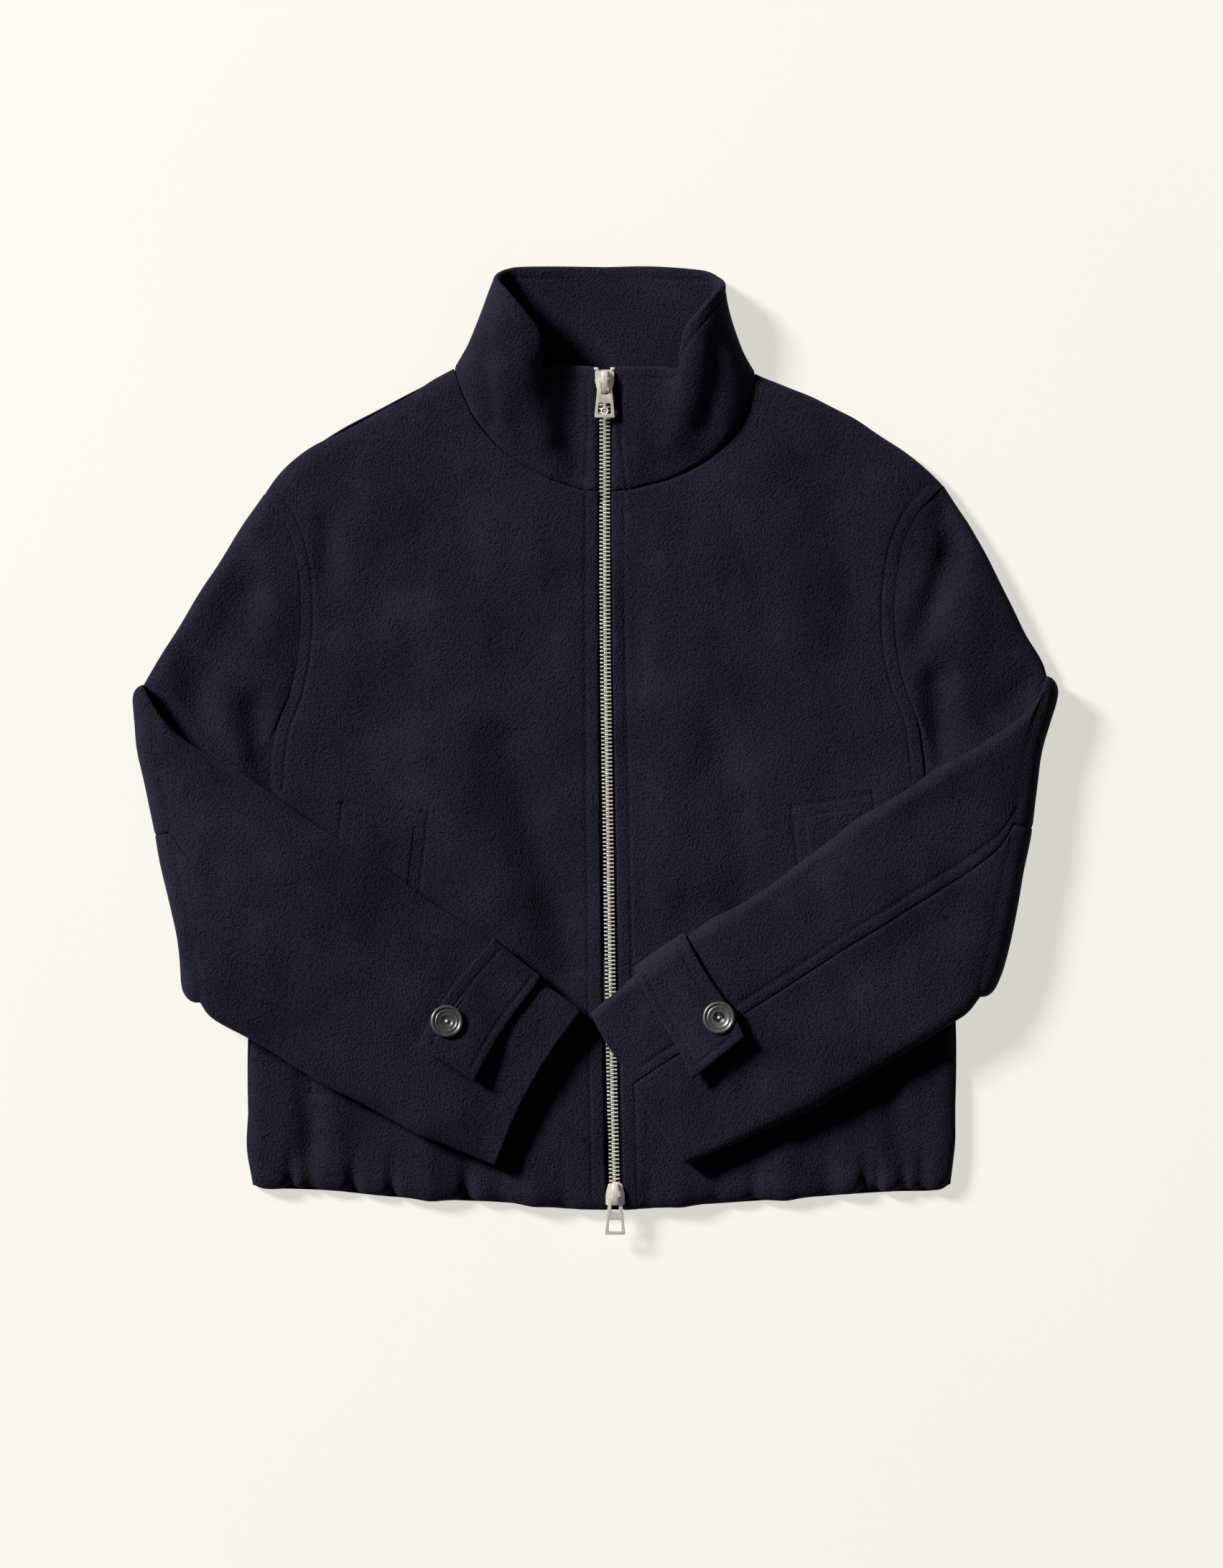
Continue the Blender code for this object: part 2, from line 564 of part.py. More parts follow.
def make_tab(sleeve):
    corners = OUTLINES[sleeve.side]["tab"]
    inner, outer = tab_faces(sleeve, corners, TAB_ROWS, TAB_COLUMNS)
    walled("cuff_tab_" + sleeve.side, outer, inner, wool("wool_cuff_tab_" + sleeve.side))
    return outer


def make_button(side, tab):
    """A turned button with a raised rim and a sunk middle, on the tab's face."""
    across = int(round(BUTTON_SHARE[0] * (len(TAB_COLUMNS) - 1)))
    along = 4 + int(np.argmin(np.abs(TAB_ROWS - BUTTON_SHARE[1])))
    a, b = tab[across, along], tab[across - 1, along]
    spot = (a + b) / 2
    down = tab[across, along + 1] - tab[across, along - 1]
    over = tab[across + 1, along] - tab[across - 2, along]
    normal = Vector(np.cross(down, over)).normalized()
    normal = normal if normal.z > 0 else -normal
    r, t = BUTTON_RADIUS, BUTTON_THICK
    profile = ((0, t * 0.62), (0.34 * r, t * 0.62), (0.42 * r, t * 0.8), (0.64 * r, t * 0.78),
               (0.74 * r, t * 0.72), (0.82 * r, t * 0.94), (0.9 * r, t), (0.97 * r, t * 0.9),
               (r, t * 0.66), (0.97 * r, t * 0.38), (0.84 * r, t * 0.12), (0.6 * r, 0), (0, 0))
    mesh = bmesh.new()
    points = [mesh.verts.new((x * MM, 0, z * MM)) for x, z in profile]
    for first, second in zip(points, points[1:]):
        mesh.edges.new((first, second))
    piece = add_mesh("button_" + side, mesh, finish("horn_" + side, (0.035, 0.033, 0.031), 0.25))
    turn = piece.modifiers.new("turn", "SCREW")
    turn.steps = turn.render_steps = 22
    turn.use_merge_vertices = True
    turn.merge_threshold = 0.00005
    turn.use_smooth_shade = True
    lift = 0.35 + BUTTON_RADIUS * 0.02
    piece.location = (Vector(spot) + normal * lift) * MM
    piece.rotation_mode = "QUATERNION"
    piece.rotation_quaternion = normal.to_track_quat("Z", "Y")


def make_welt(side):
    """The pocket's welt lies on the front and follows it."""
    corners = np.array(OUTLINES[side]["pocket"], float)
    u, v = np.linspace(0, 1, 5)[None, :, None], np.linspace(0, 1, 13)[:, None, None]
    top = (1 - u) * corners[0] + u * corners[1]
    low = (1 - u) * corners[3] + u * corners[2]
    plan = ((1 - v) * top + v * low).reshape(-1, 2)
    inner, _ = front_skin(plan, side, WELT_CLEAR)
    outer, _ = front_skin(plan, side, WELT_CLEAR + WELT_WALL)
    walled("pocket_welt_" + side, outer.reshape(13, 5, 3), inner.reshape(13, 5, 3), wool("wool_welt_" + side))


def make_collar():
    halves = []
    for side in ("right", "left"):
        routes = ROUTES[side]
        rows = [(share, *mid, *top) for share, mid, top in COLLAR_ROWS[side]]
        curve = table_curve(rows)
        step = SIDE_STEP if side == "left" else -SIDE_STEP
        seam_front = routes["neck"].beside(NECK_SHARES, step)
        seam_back = routes["back_neck"].beside(BACK_NECK_SHARES[1:], -step)
        seam_front[0, 0] = zip_edge(side, seam_front[:1, 1])[0, 0]
        front, _ = front_skin(seam_front, side)
        back, _ = back_skin(seam_back, side)
        front[-1, 2] = SEAM_HEIGHT
        seam = np.vstack([front, back])
        shares = np.concatenate([NECK_SHARES, 1 + BACK_NECK_SHARES[1:]])
        middle, top = np.split(curve(shares), 2, axis=1)
        v = np.array([0, 0.16, 0.33, 0.5, 0.68, 0.85, 1.0])[:, None, None]
        halves.append(seam * (1 - v) * (1 - 2 * v) + middle * 4 * v * (1 - v) + top * v * (2 * v - 1))
    outer = np.concatenate([halves[0], halves[1][:, -2::-1]], axis=1)
    outer[..., 2] = np.maximum(outer[..., 2], 0)
    along, up = np.gradient(outer, axis=1), np.gradient(outer, axis=0)
    normal = np.cross(up, along)
    normal /= np.linalg.norm(normal, axis=2)[..., None]
    if normal[3, 0, 2] < 0:
        normal = -normal
    walled("collar", outer, outer - COLLAR_WALL * normal, wool("wool_collar"))


def make_zip():
    ys = np.array([-349, -335, *range(-300, 151, 50), 180, 199, 215, 230, 246, 262, 277, 290.0])
    middle, _, face = zip_at(ys).T
    for side, sign in (("right", -1), ("left", 1)):
        outer = np.stack([np.column_stack([middle + sign * x, ys, face - TAPE_DOWN]) for x in (TAPE_INNER, TAPE_OUTER)], 1)
        inner = outer - (0, 0, TAPE_THICK)
        walled("zip_tape_" + side, outer, inner, finish("tape_" + side, (0.012, 0.012, 0.02), 0.8))
    inside = (ys > SLIDERS["bottom"]["post_y"] + 3) & (ys < SLIDERS["top"]["post_y"] - 3)
    ends = np.array([SLIDERS["bottom"]["post_y"] + POST_HALF + 0.4, SLIDERS["top"]["post_y"] - POST_HALF - 0.4])
    ys = np.concatenate([ends[:1], ys[inside], ends[1:]])
    middle, _, face = zip_at(ys).T
    outer = np.stack([np.column_stack([middle + x, ys, face - CHAIN_TOP]) for x in (-CHAIN_HALF, CHAIN_HALF)], 1)
    walled("zip_chain", outer, outer - (0, 0, CHAIN_THICK), nickel("nickel_chain"))


def flat_plate(name, outlines, thickness):
    """A mesh cut from closed outlines, an outline inside another being a hole, centred on its own plane."""
    curve = bpy.data.curves.new(name, "CURVE")
    curve.dimensions = "2D"
    curve.fill_mode = "BOTH"
    curve.extrude = thickness / 2 * MM
    for outline in outlines:
        spline = curve.splines.new("POLY")
        spline.points.add(len(outline) - 1)
        for point, (x, y) in zip(spline.points, outline):
            point.co = (x * MM, y * MM, 0, 1)
        spline.use_cyclic_u = True
    drawn = bpy.data.objects.new(name + "_outline", curve)
    jacket.objects.link(drawn)
    bpy.context.view_layer.update()
    data = bpy.data.meshes.new_from_object(drawn.evaluated_get(bpy.context.evaluated_depsgraph_get()))
    bpy.data.objects.remove(drawn)
    mesh = bmesh.new()
    mesh.from_mesh(data)
    bpy.data.meshes.remove(data)
    bmesh.ops.remove_doubles(mesh, verts=mesh.verts, dist=1e-6)
    return mesh


def rounded(corners, radius, steps=4):
    """A closed outline whose corners are arcs."""
    points = np.asarray(corners, float)
    outline = []
    for before, here, after in zip(np.roll(points, 1, axis=0), points, np.roll(points, -1, axis=0)):
        into = (before - here) / np.linalg.norm(before - here)
        out = (after - here) / np.linalg.norm(after - here)
        for step in range(steps + 1):
            t = step / steps
            outline.append(here + radius * ((1 - t) ** 2 * into + t**2 * out))
    return outline


SLIDERS = {
    "top": {"wide_y": 291.0, "way": -1, "tilt": -7.5, "bar": 7.7},
    "bottom": {"wide_y": -348.0, "way": 1, "tilt": 0.0, "bar": 5.5},
}
for row in SLIDERS.values():
    row["post_y"] = row["wide_y"] + row["way"] * 3.0


def slider_frame(where):
    """Where a slider's wide end is, with its own y running to its tail and z off the cloth."""
    row = SLIDERS[where]
    middle, _, face = zip_at(row["wide_y"])
    turn = Matrix.Rotation(math.radians(-row["tilt"]), 4, "X")
    flip = Matrix.Rotation(math.pi if row["way"] < 0 else 0.0, 4, "Z")
    return Matrix.Translation(Vector((middle, row["wide_y"], face)) * MM) @ turn @ flip


def joined(piece, others):
    """Unites other meshes with a piece, and keeps them hidden."""
    for other in others:
        helpers.objects.link(other)
        other.hide_render = True
        other.display_type = "WIRE"
        union = piece.modifiers.new("join", "BOOLEAN")
        union.operation = "UNION"
        union.object = other


def helper_box(name, low, high):
    mesh = bmesh.new()
    bmesh.ops.create_cube(mesh, size=1)
    low, high = Vector(low), Vector(high)
    bmesh.ops.scale(mesh, vec=(high - low) * MM, verts=mesh.verts)
    bmesh.ops.translate(mesh, vec=(low + high) / 2 * MM, verts=mesh.verts)
    data = bpy.data.meshes.new(name)
    mesh.to_mesh(data)
    mesh.free()
    return bpy.data.objects.new(name, data)


def make_slider(where):
    """Two plates joined by a post, with a bridge over the upper one that holds the pull's bar."""
    wide, tail = SLIDER_WIDE / 2, SLIDER_TAIL / 2
    outline = rounded(((-wide, 0), (wide, 0), (wide, 8.5), (tail, SLIDER_LONG), (-tail, SLIDER_LONG), (-wide, 8.5)), 2.0)
    top = flat_plate("plate", [outline], PLATE_THICK)
    bmesh.ops.translate(top, vec=(0, 0, (PLATE_UP + PLATE_THICK / 2) * MM), verts=top.verts)
    name = "slider_" + where
    piece = add_mesh(name, top, nickel("nickel_" + name))
    low = flat_plate("plate", [outline], PLATE_THICK)
    bmesh.ops.translate(low, vec=(0, 0, -(LOWER_DOWN - PLATE_THICK / 2) * MM), verts=low.verts)
    data = bpy.data.meshes.new(name + "_low")
    low.to_mesh(data)
    low.free()
    lower = bpy.data.objects.new(name + "_low", data)
    post = helper_box(name + "_post", (-POST_HALF, 3 - POST_HALF, -LOWER_DOWN + 0.6),
                      (POST_HALF, 3 + POST_HALF, PLATE_UP + 0.6))
    rise, sunk = EYE_HIGH + BRIDGE_WALL, -0.8
    arch = ((16.6, sunk), (16.6, rise - 1.6), (14.4, rise), (2.6, rise), (0.4, rise - 1.6), (0.4, sunk),
            (2.0, sunk), (2.0, EYE_HIGH - 1.2), (3.2, EYE_HIGH), (13.8, EYE_HIGH), (15.2, EYE_HIGH - 1.2), (15.2, sunk))
    bridge = flat_plate("bridge", [arch], 2 * BRIDGE_HALF)
    stand = Matrix(((0, 0, 1, 0), (1, 0, 0, 0), (0, 1, 0, (PLATE_UP + PLATE_THICK) * MM), (0, 0, 0, 1)))
    bmesh.ops.transform(bridge, matrix=stand, verts=bridge.verts)
    data = bpy.data.meshes.new(name + "_bridge")
    bridge.to_mesh(data)
    bridge.free()
    arch_piece = bpy.data.objects.new(name + "_bridge", data)
    frame = slider_frame(where)
    piece.matrix_world = frame
    for other in (lower, post, arch_piece):
        other.matrix_world = frame
    joined(piece, (lower, post, arch_piece))


def make_pull(where):
    """A flat pull with a slot that the bridge passes through, and a window near its end."""
    name = "pull_" + where
    length = PULL_LONG
    outline = rounded(((-4.9, 1.4), (4.9, 1.4), (5.7, -6), (7.8, -length), (-7.8, -length), (-5.7, -6)), 1.3)
    slot = rounded(((-2.9, -1.3), (2.9, -1.3), (2.9, -10.4), (-2.9, -10.4)), 1.2)
    window = rounded(((-4.6, -16.6), (4.6, -16.6), (5.0, -25.4), (-5.0, -25.4)), 1.4)
    mesh = flat_plate(name, [outline, slot, window], PULL_THICK)
    piece = add_mesh(name, mesh, nickel("nickel_" + name))
    out_of_slider = Matrix.Translation((0, SLIDERS[where]["bar"] * MM, (PLATE_UP + PLATE_THICK + EYE_HIGH / 2) * MM))
    if where == "top":
        rest = Matrix.Rotation(math.pi, 4, "Z")
    else:
        rest = Matrix.Rotation(math.radians(BOTTOM_DROOP), 4, "X")
    piece.matrix_world = slider_frame(where) @ out_of_slider @ rest


def clear_scene():
    for old in list(bpy.data.objects):
        bpy.data.objects.remove(old)


def new_collection(name):
    collection = bpy.data.collections.new(name)
    bpy.context.scene.collection.children.link(collection)
    return collection


clear_scene()
jacket = new_collection("jacket")
helpers = new_collection("joined_shapes")
make_back()
for wearer_side in ("right", "left"):
    make_front(wearer_side)
    arm = Sleeve(wearer_side)
    arm.make()
    make_button(wearer_side, make_tab(arm))
    make_welt(wearer_side)
make_collar()
make_zip()
for end in ("top", "bottom"):
    make_slider(end)
    make_pull(end)
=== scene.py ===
# %% [markdown]
# The real object is a navy wool jacket that lies on its back, zipped up, with both sleeves folded
# across it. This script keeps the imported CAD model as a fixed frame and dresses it: each cloth
# panel becomes a fine shell on its solid's form, with seams, stitching and a woollen face, and the
# zip gets single teeth. Lengths are in millimetres until a mesh is made. The wearer's right is -X.

# %% Load the frame
import json
import math

import bmesh
import bpy
import numpy as np
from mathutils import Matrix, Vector
from mathutils.bvhtree import BVHTree

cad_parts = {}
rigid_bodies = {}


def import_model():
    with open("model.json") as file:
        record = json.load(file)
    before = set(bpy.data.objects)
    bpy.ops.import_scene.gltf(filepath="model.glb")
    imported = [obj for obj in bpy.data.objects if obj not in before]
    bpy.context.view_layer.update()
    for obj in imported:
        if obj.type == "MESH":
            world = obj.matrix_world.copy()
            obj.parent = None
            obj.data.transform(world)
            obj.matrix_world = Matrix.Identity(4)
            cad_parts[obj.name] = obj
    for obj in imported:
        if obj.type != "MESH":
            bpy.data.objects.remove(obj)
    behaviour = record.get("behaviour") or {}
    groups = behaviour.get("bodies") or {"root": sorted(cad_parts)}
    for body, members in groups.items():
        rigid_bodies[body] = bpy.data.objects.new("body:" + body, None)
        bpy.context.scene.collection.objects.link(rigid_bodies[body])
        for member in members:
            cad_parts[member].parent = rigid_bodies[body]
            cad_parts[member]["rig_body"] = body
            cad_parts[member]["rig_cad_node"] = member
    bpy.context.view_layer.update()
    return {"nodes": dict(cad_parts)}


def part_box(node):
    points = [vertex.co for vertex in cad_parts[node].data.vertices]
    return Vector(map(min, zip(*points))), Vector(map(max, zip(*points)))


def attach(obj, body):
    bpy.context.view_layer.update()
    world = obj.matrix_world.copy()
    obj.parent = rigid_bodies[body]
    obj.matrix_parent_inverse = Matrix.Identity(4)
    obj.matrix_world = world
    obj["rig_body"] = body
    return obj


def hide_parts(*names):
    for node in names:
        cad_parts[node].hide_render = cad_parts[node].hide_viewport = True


MM = 0.001
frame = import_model()

# %% [markdown]
# The photograph looks straight down. A long lens a few metres up keeps the outline of raised parts,
# such as the sleeves, almost where it would be in a plan drawing. Half a millimetre a pixel sets
# how high the camera hangs.

# %% Camera
IMAGE_WIDE, IMAGE_HIGH = 1703, 2184
PIXEL = 0.55
ZERO_PIXEL = (829.5, 1046.0)  # the pixel over the frame's origin
LENS, SENSOR = 200.0, 36.0
CLOTH_TOP = 15.0  # the height at which a pixel is PIXEL wide

middle_x = (IMAGE_WIDE / 2 - ZERO_PIXEL[0]) * PIXEL
middle_y = (ZERO_PIXEL[1] - IMAGE_HIGH / 2) * PIXEL
camera_data = bpy.data.cameras.new("camera")
camera_data.lens, camera_data.sensor_width = LENS, SENSOR
camera = bpy.data.objects.new("camera", camera_data)
camera.location = Vector((middle_x, middle_y, CLOTH_TOP + IMAGE_HIGH * PIXEL * LENS / SENSOR)) * MM
camera_data.clip_end = 100
bpy.context.scene.collection.objects.link(camera)
bpy.context.scene.camera = camera
print("camera height in metres:", round(camera.location.z, 3))

# %% [markdown]
# The studio has one large window of light to the upper left, low enough to throw a soft shadow to
# the lower right, and pale walls that fill the shadows a little. An area light gives the window,
# and the world gives the walls.

# %% Light and floor
KEY_FROM = Vector((-10.0, 6.8, 7.3))
KEY_SIZE, KEY_POWER = 3.1, 6500.0
WALLS, WALL_GLOW = (0.95, 0.98, 1.0), 0.12


def area_light(name, place, target, size, power, colour):
    data = bpy.data.lights.new(name, "AREA")
    data.shape, data.size, data.energy, data.color = "DISK", size, power, colour
    light = bpy.data.objects.new(name, data)
    light.location = place
    light.rotation_mode = "QUATERNION"
    light.rotation_quaternion = (Vector(target) - Vector(place)).to_track_quat("-Z", "Y")
    bpy.context.scene.collection.objects.link(light)


area_light("window", KEY_FROM, (0, 0, 0), KEY_SIZE, KEY_POWER, (1.0, 0.985, 0.955))
world = bpy.data.worlds.new("studio")
world.use_nodes = True
world.node_tree.nodes["Background"].inputs["Color"].default_value = (*WALLS, 1)
world.node_tree.nodes["Background"].inputs["Strength"].default_value = WALL_GLOW
bpy.context.scene.world = world
bpy.context.scene.view_settings.view_transform = "Standard"


# %% [markdown]
# Every finish starts from one Principled shader. A constant such as roughness is set on the
# shader's own socket, and only what changes over the surface is linked to it.

# %% Helpers for materials
def finish(name, colour, roughness, **constants):
    """A material with its Principled shader, both ready for links."""
    material = bpy.data.materials.new(name)
    material.use_nodes = True
    shader = material.node_tree.nodes["Principled BSDF"]
    shader.inputs["Base Color"].default_value = (*colour, 1)
    shader.inputs["Roughness"].default_value = roughness
    for socket, value in constants.items():
        shader.inputs[socket.replace("_", " ")].default_value = value
    return material, shader


def effect(name, inputs, outputs):
    """An empty node group with float or colour sockets, given as name: default."""
    group = bpy.data.node_groups.new(name, "ShaderNodeTree")
    for direction, sockets in (("INPUT", inputs), ("OUTPUT", outputs)):
        for socket, default in sockets.items():
            kind = {float: "NodeSocketFloat", tuple: "NodeSocketColor",
                    str: "NodeSocketVector"}[type(default)]
            made = group.interface.new_socket(socket, in_out=direction, socket_type=kind)
            if direction == "INPUT" and kind != "NodeSocketVector":
                made.default_value = default if kind == "NodeSocketFloat" else (*default, 1)
    return group, group.nodes.new("NodeGroupInput"), group.nodes.new("NodeGroupOutput")


def node(tree, kind, values=(), **settings):
    made = tree.nodes.new(kind)
    for key, value in settings.items():
        setattr(made, key, value)
    for socket, value in dict(values).items():
        if isinstance(value, bpy.types.NodeSocket):
            tree.links.new(value, made.inputs[socket])
        else:
            made.inputs[socket].default_value = value
    return made


# %% [markdown]
# The wool is a thick crepe: a matt face of small irregular pebbles about a millimetre across, with hairs that
# soften its edges. A Voronoi pattern gives the pebbles, fine noise the fibres, and slow noise the slight
# unevenness of the dye. They are one group, because every panel and the thread use them with their own values.
# The colour is also lighter on the pebbles' crowns and darker in the hollows between them, which is painted
# shade on top of the bump.

# %% Wool effect
wool_effect, ins, outs = effect(
    "wool_face",
    {"Place": "", "Pebble size": 1.0, "Dark": (0.0, 0.0, 0.0), "Light": (0.1, 0.1, 0.1)},
    {"Color": (0.0, 0.0, 0.0), "Height": 0.0, "Roughness": 0.0},
)
place = ins.outputs["Place"]
size = node(wool_effect, "ShaderNodeMath", {0: 1000.0, 1: ins.outputs["Pebble size"]},
            operation="DIVIDE").outputs[0]
pebbles = node(wool_effect, "ShaderNodeTexVoronoi", {"Vector": place, "Scale": size, "Randomness": 1.0},
               feature="SMOOTH_F1").outputs["Distance"]
fibres = node(wool_effect, "ShaderNodeTexNoise",
              {"Vector": place, "Scale": 1500.0, "Detail": 3.0}).outputs["Fac"]
dye = node(wool_effect, "ShaderNodeTexNoise",
           {"Vector": place, "Scale": 16.0, "Detail": 4.0}).outputs["Fac"]
crowns = node(wool_effect, "ShaderNodeMapRange",
              {"Value": pebbles, "From Min": 0.1, "From Max": 0.75, "To Min": 1.0,
               "To Max": 0.0}).outputs["Result"]
height = node(wool_effect, "ShaderNodeMath", {0: crowns, 1: fibres}, operation="ADD").outputs[0]
# Painted shade: lighter colour on the pebbles' crowns and darker in their hollows, with random tone from the
# fibres and the dye.
tone_and_pebble_shade = node(wool_effect, "ShaderNodeMath", {0: crowns, 1: 0.5, 2: fibres},
             operation="MULTIPLY_ADD").outputs[0]
tone_and_pebble_shade = node(wool_effect, "ShaderNodeMath", {0: dye, 1: 0.9, 2: tone_and_pebble_shade}, operation="MULTIPLY_ADD").outputs[0]
share = node(wool_effect, "ShaderNodeMapRange",
             {"Value": tone_and_pebble_shade, "From Min": 0.75, "From Max": 1.6}).outputs["Result"]
colour = node(wool_effect, "ShaderNodeMix", {0: share, 6: ins.outputs["Dark"], 7: ins.outputs["Light"]},
              data_type="RGBA").outputs[2]
rough = node(wool_effect, "ShaderNodeMapRange",
             {"Value": fibres, "To Min": 0.82, "To Max": 1.0}).outputs["Result"]
for socket, value in (("Color", colour), ("Height", height), ("Roughness", rough)):
    wool_effect.links.new(value, outs.inputs[socket])


# %% [markdown]
# Each woollen material places that group on the piece's own coordinates. Sheen stands for the
# short hairs, which catch light that comes from the side.

# %% Wool and thread
def woollen(name, pebble, dark, light, bump, sheen):
    material, shader = finish(name, light, 0.92, Sheen_Weight=sheen, Sheen_Roughness=0.45,
                              Specular_IOR_Level=0.07)
    shader.inputs["Sheen Tint"].default_value = (0.45, 0.45, 0.70, 1)
    tree = material.node_tree
    spot = node(tree, "ShaderNodeTexCoord").outputs["Object"]
    face = node(tree, "ShaderNodeGroup", node_tree=wool_effect)
    tree.links.new(spot, face.inputs["Place"])
    face.inputs["Pebble size"].default_value = pebble
    face.inputs["Dark"].default_value = (*dark, 1)
    face.inputs["Light"].default_value = (*light, 1)
    relief_node = node(tree, "ShaderNodeBump",
                       {"Strength": 0.85, "Distance": bump * MM, "Height": face.outputs["Height"]})
    tree.links.new(face.outputs["Color"], shader.inputs["Base Color"])
    tree.links.new(face.outputs["Roughness"], shader.inputs["Roughness"])
    tree.links.new(relief_node.outputs["Normal"], shader.inputs["Normal"])
    return material


wool = woollen("navy_wool", 1.5, (0.0004, 0.0005, 0.0017), (0.0108, 0.0104, 0.0205), 0.9, 0.03)
thread = woollen("navy_thread", 0.5, (0.006, 0.006, 0.010), (0.014, 0.014, 0.026), 0.10, 0.05)
tape_cloth = woollen("navy_tape", 0.6, (0.003, 0.003, 0.005), (0.010, 0.010, 0.016), 0.12, 0.0)

# %% [markdown]
# The zip is polished nickel with faint rubbing marks, so noise changes its roughness and its tone a
# little. The buttons are dark polished horn with a slow streak in it.

# %% Nickel and horn
nickel, shader = finish("nickel", (0.66, 0.63, 0.58), 0.28, Metallic=0.72)
tree = nickel.node_tree
spot = node(tree, "ShaderNodeTexCoord").outputs["Object"]
marks = node(tree, "ShaderNodeTexNoise", {"Vector": spot, "Scale": 90.0, "Detail": 2.0}).outputs["Fac"]
worn = node(tree, "ShaderNodeMapRange", {"Value": marks, "From Min": 0.3, "From Max": 0.7, "To Min": 0.2,
                                         "To Max": 0.3}).outputs["Result"]
tone = node(tree, "ShaderNodeMix", {0: marks, 6: (0.80, 0.75, 0.67, 1), 7: (0.92, 0.87, 0.79, 1)},
            data_type="RGBA").outputs[2]
tree.links.new(worn, shader.inputs["Roughness"])
tree.links.new(tone, shader.inputs["Base Color"])

horn, shader = finish("dark_horn", (0.012, 0.0125, 0.013), 0.3, Coat_Weight=0.1, Coat_Roughness=0.2)
tree = horn.node_tree
spot = node(tree, "ShaderNodeTexCoord").outputs["Object"]
streak = node(tree, "ShaderNodeTexNoise",
              {"Vector": spot, "Scale": 130.0, "Detail": 5.0, "Distortion": 1.6}).outputs["Fac"]
tone = node(tree, "ShaderNodeMix", {0: streak, 6: (0.006, 0.0062, 0.0066, 1), 7: (0.040, 0.040, 0.040, 1)},
            data_type="RGBA").outputs[2]
gloss = node(tree, "ShaderNodeMapRange", {"Value": streak, "To Min": 0.3, "To Max": 0.42}).outputs["Result"]
tree.links.new(tone, shader.inputs["Base Color"])
tree.links.new(gloss, shader.inputs["Roughness"])

# %% [markdown]
# The floor is a sheet of warm white paper, much larger than the picture. It glows as on a light table, and
# that glow is painted light: it keeps the jacket's shadows on it pale. The glow's warmth drifts a little at
# random.

# %% Paper
# Painted light: the paper's own glow, which lifts the jacket's shadows on it.
PAPER_GLOW = 0.655

paper, shader = finish("warm_paper", (0.16, 0.158, 0.15), 0.9, Emission_Strength=PAPER_GLOW,
                       Specular_IOR_Level=0.0)
tree = paper.node_tree
spot = node(tree, "ShaderNodeTexCoord").outputs["Object"]
drift = node(tree, "ShaderNodeTexNoise", {"Vector": spot, "Scale": 1.6, "Detail": 2.0}).outputs["Fac"]
tone = node(tree, "ShaderNodeMix", {0: drift, 6: (1.0, 0.955, 0.885, 1), 7: (1.0, 1.0, 0.95, 1)},
            data_type="RGBA").outputs[2]
tree.links.new(tone, shader.inputs["Emission Color"])
bpy.ops.object.select_all(action="DESELECT")
bpy.ops.mesh.primitive_plane_add(size=14, location=(0, 0, -0.0004))
floor = bpy.context.object
floor.name = "floor"
floor.data.materials.append(paper)

# %% [markdown]
# The panels' shapes come from the same sizes as the solids: the outline of each piece as seen from
# above, the thickness of the sleeves along their way, and the soft troughs in the cloth. Each
# outline is a short list of places on a smooth curve.

# %% Sizes
# Cloth
WELT_WALL = 2.0
TAB_WALL = 3.6
TAB_CLEAR = 0.8
SEAM_GAP = 0.3
SIDE_STEP = 0.1  # between pieces that meet along a curve
BODY_HEIGHT = 14.5  # the closed front over the floor
SEAM_HEIGHT = 7.25  # side and shoulder seams
EDGE_ROUND = 13.5  # how far in from its outline the body rounds over
HEM_ROUND = 16.0
HEM_DROP = 3.5
ZIP_FLAT = 24.0  # the hem stays flat this near the zip
ZIP_FADE = 26.0
SIDE_FADE = 3

# Sleeves
FOLD_RADIUS = 9.3  # of the middle of the sleeve round its elbow fold
FOLD_MIDDLE = 18.6
CORNER_SHARE = 0.1  # over this share of its length the fold tightens to nothing at each corner
END_SHARE = 0.06  # the share of a section that rounds over at each end
SEAM_SHARE = 0.47  # where the back seam crosses a section

# Zip
CHAIN_TOP = 1.3  # the top of the chain under the cloth's face

# %% Outlines
# The zip: y, x of its middle, half the gap between the cloth edges, height of the cloth's face
ZIP_ROWS = (
    (-352.0, 15.0, 6.9, 14.5),
    (-250.0, 12.5, 6.8, 14.5),
    (-85.0, 9.8, 6.3, 14.5),
    (80.0, 7.4, 5.6, 14.5),
    (180.0, 7.0, 5.3, 14.5),
    (199.0, 7.0, 5.3, 14.8),
    (246.5, 7.0, 5.3, 19.5),
    (293.5, 6.8, 5.3, 26.0),
)

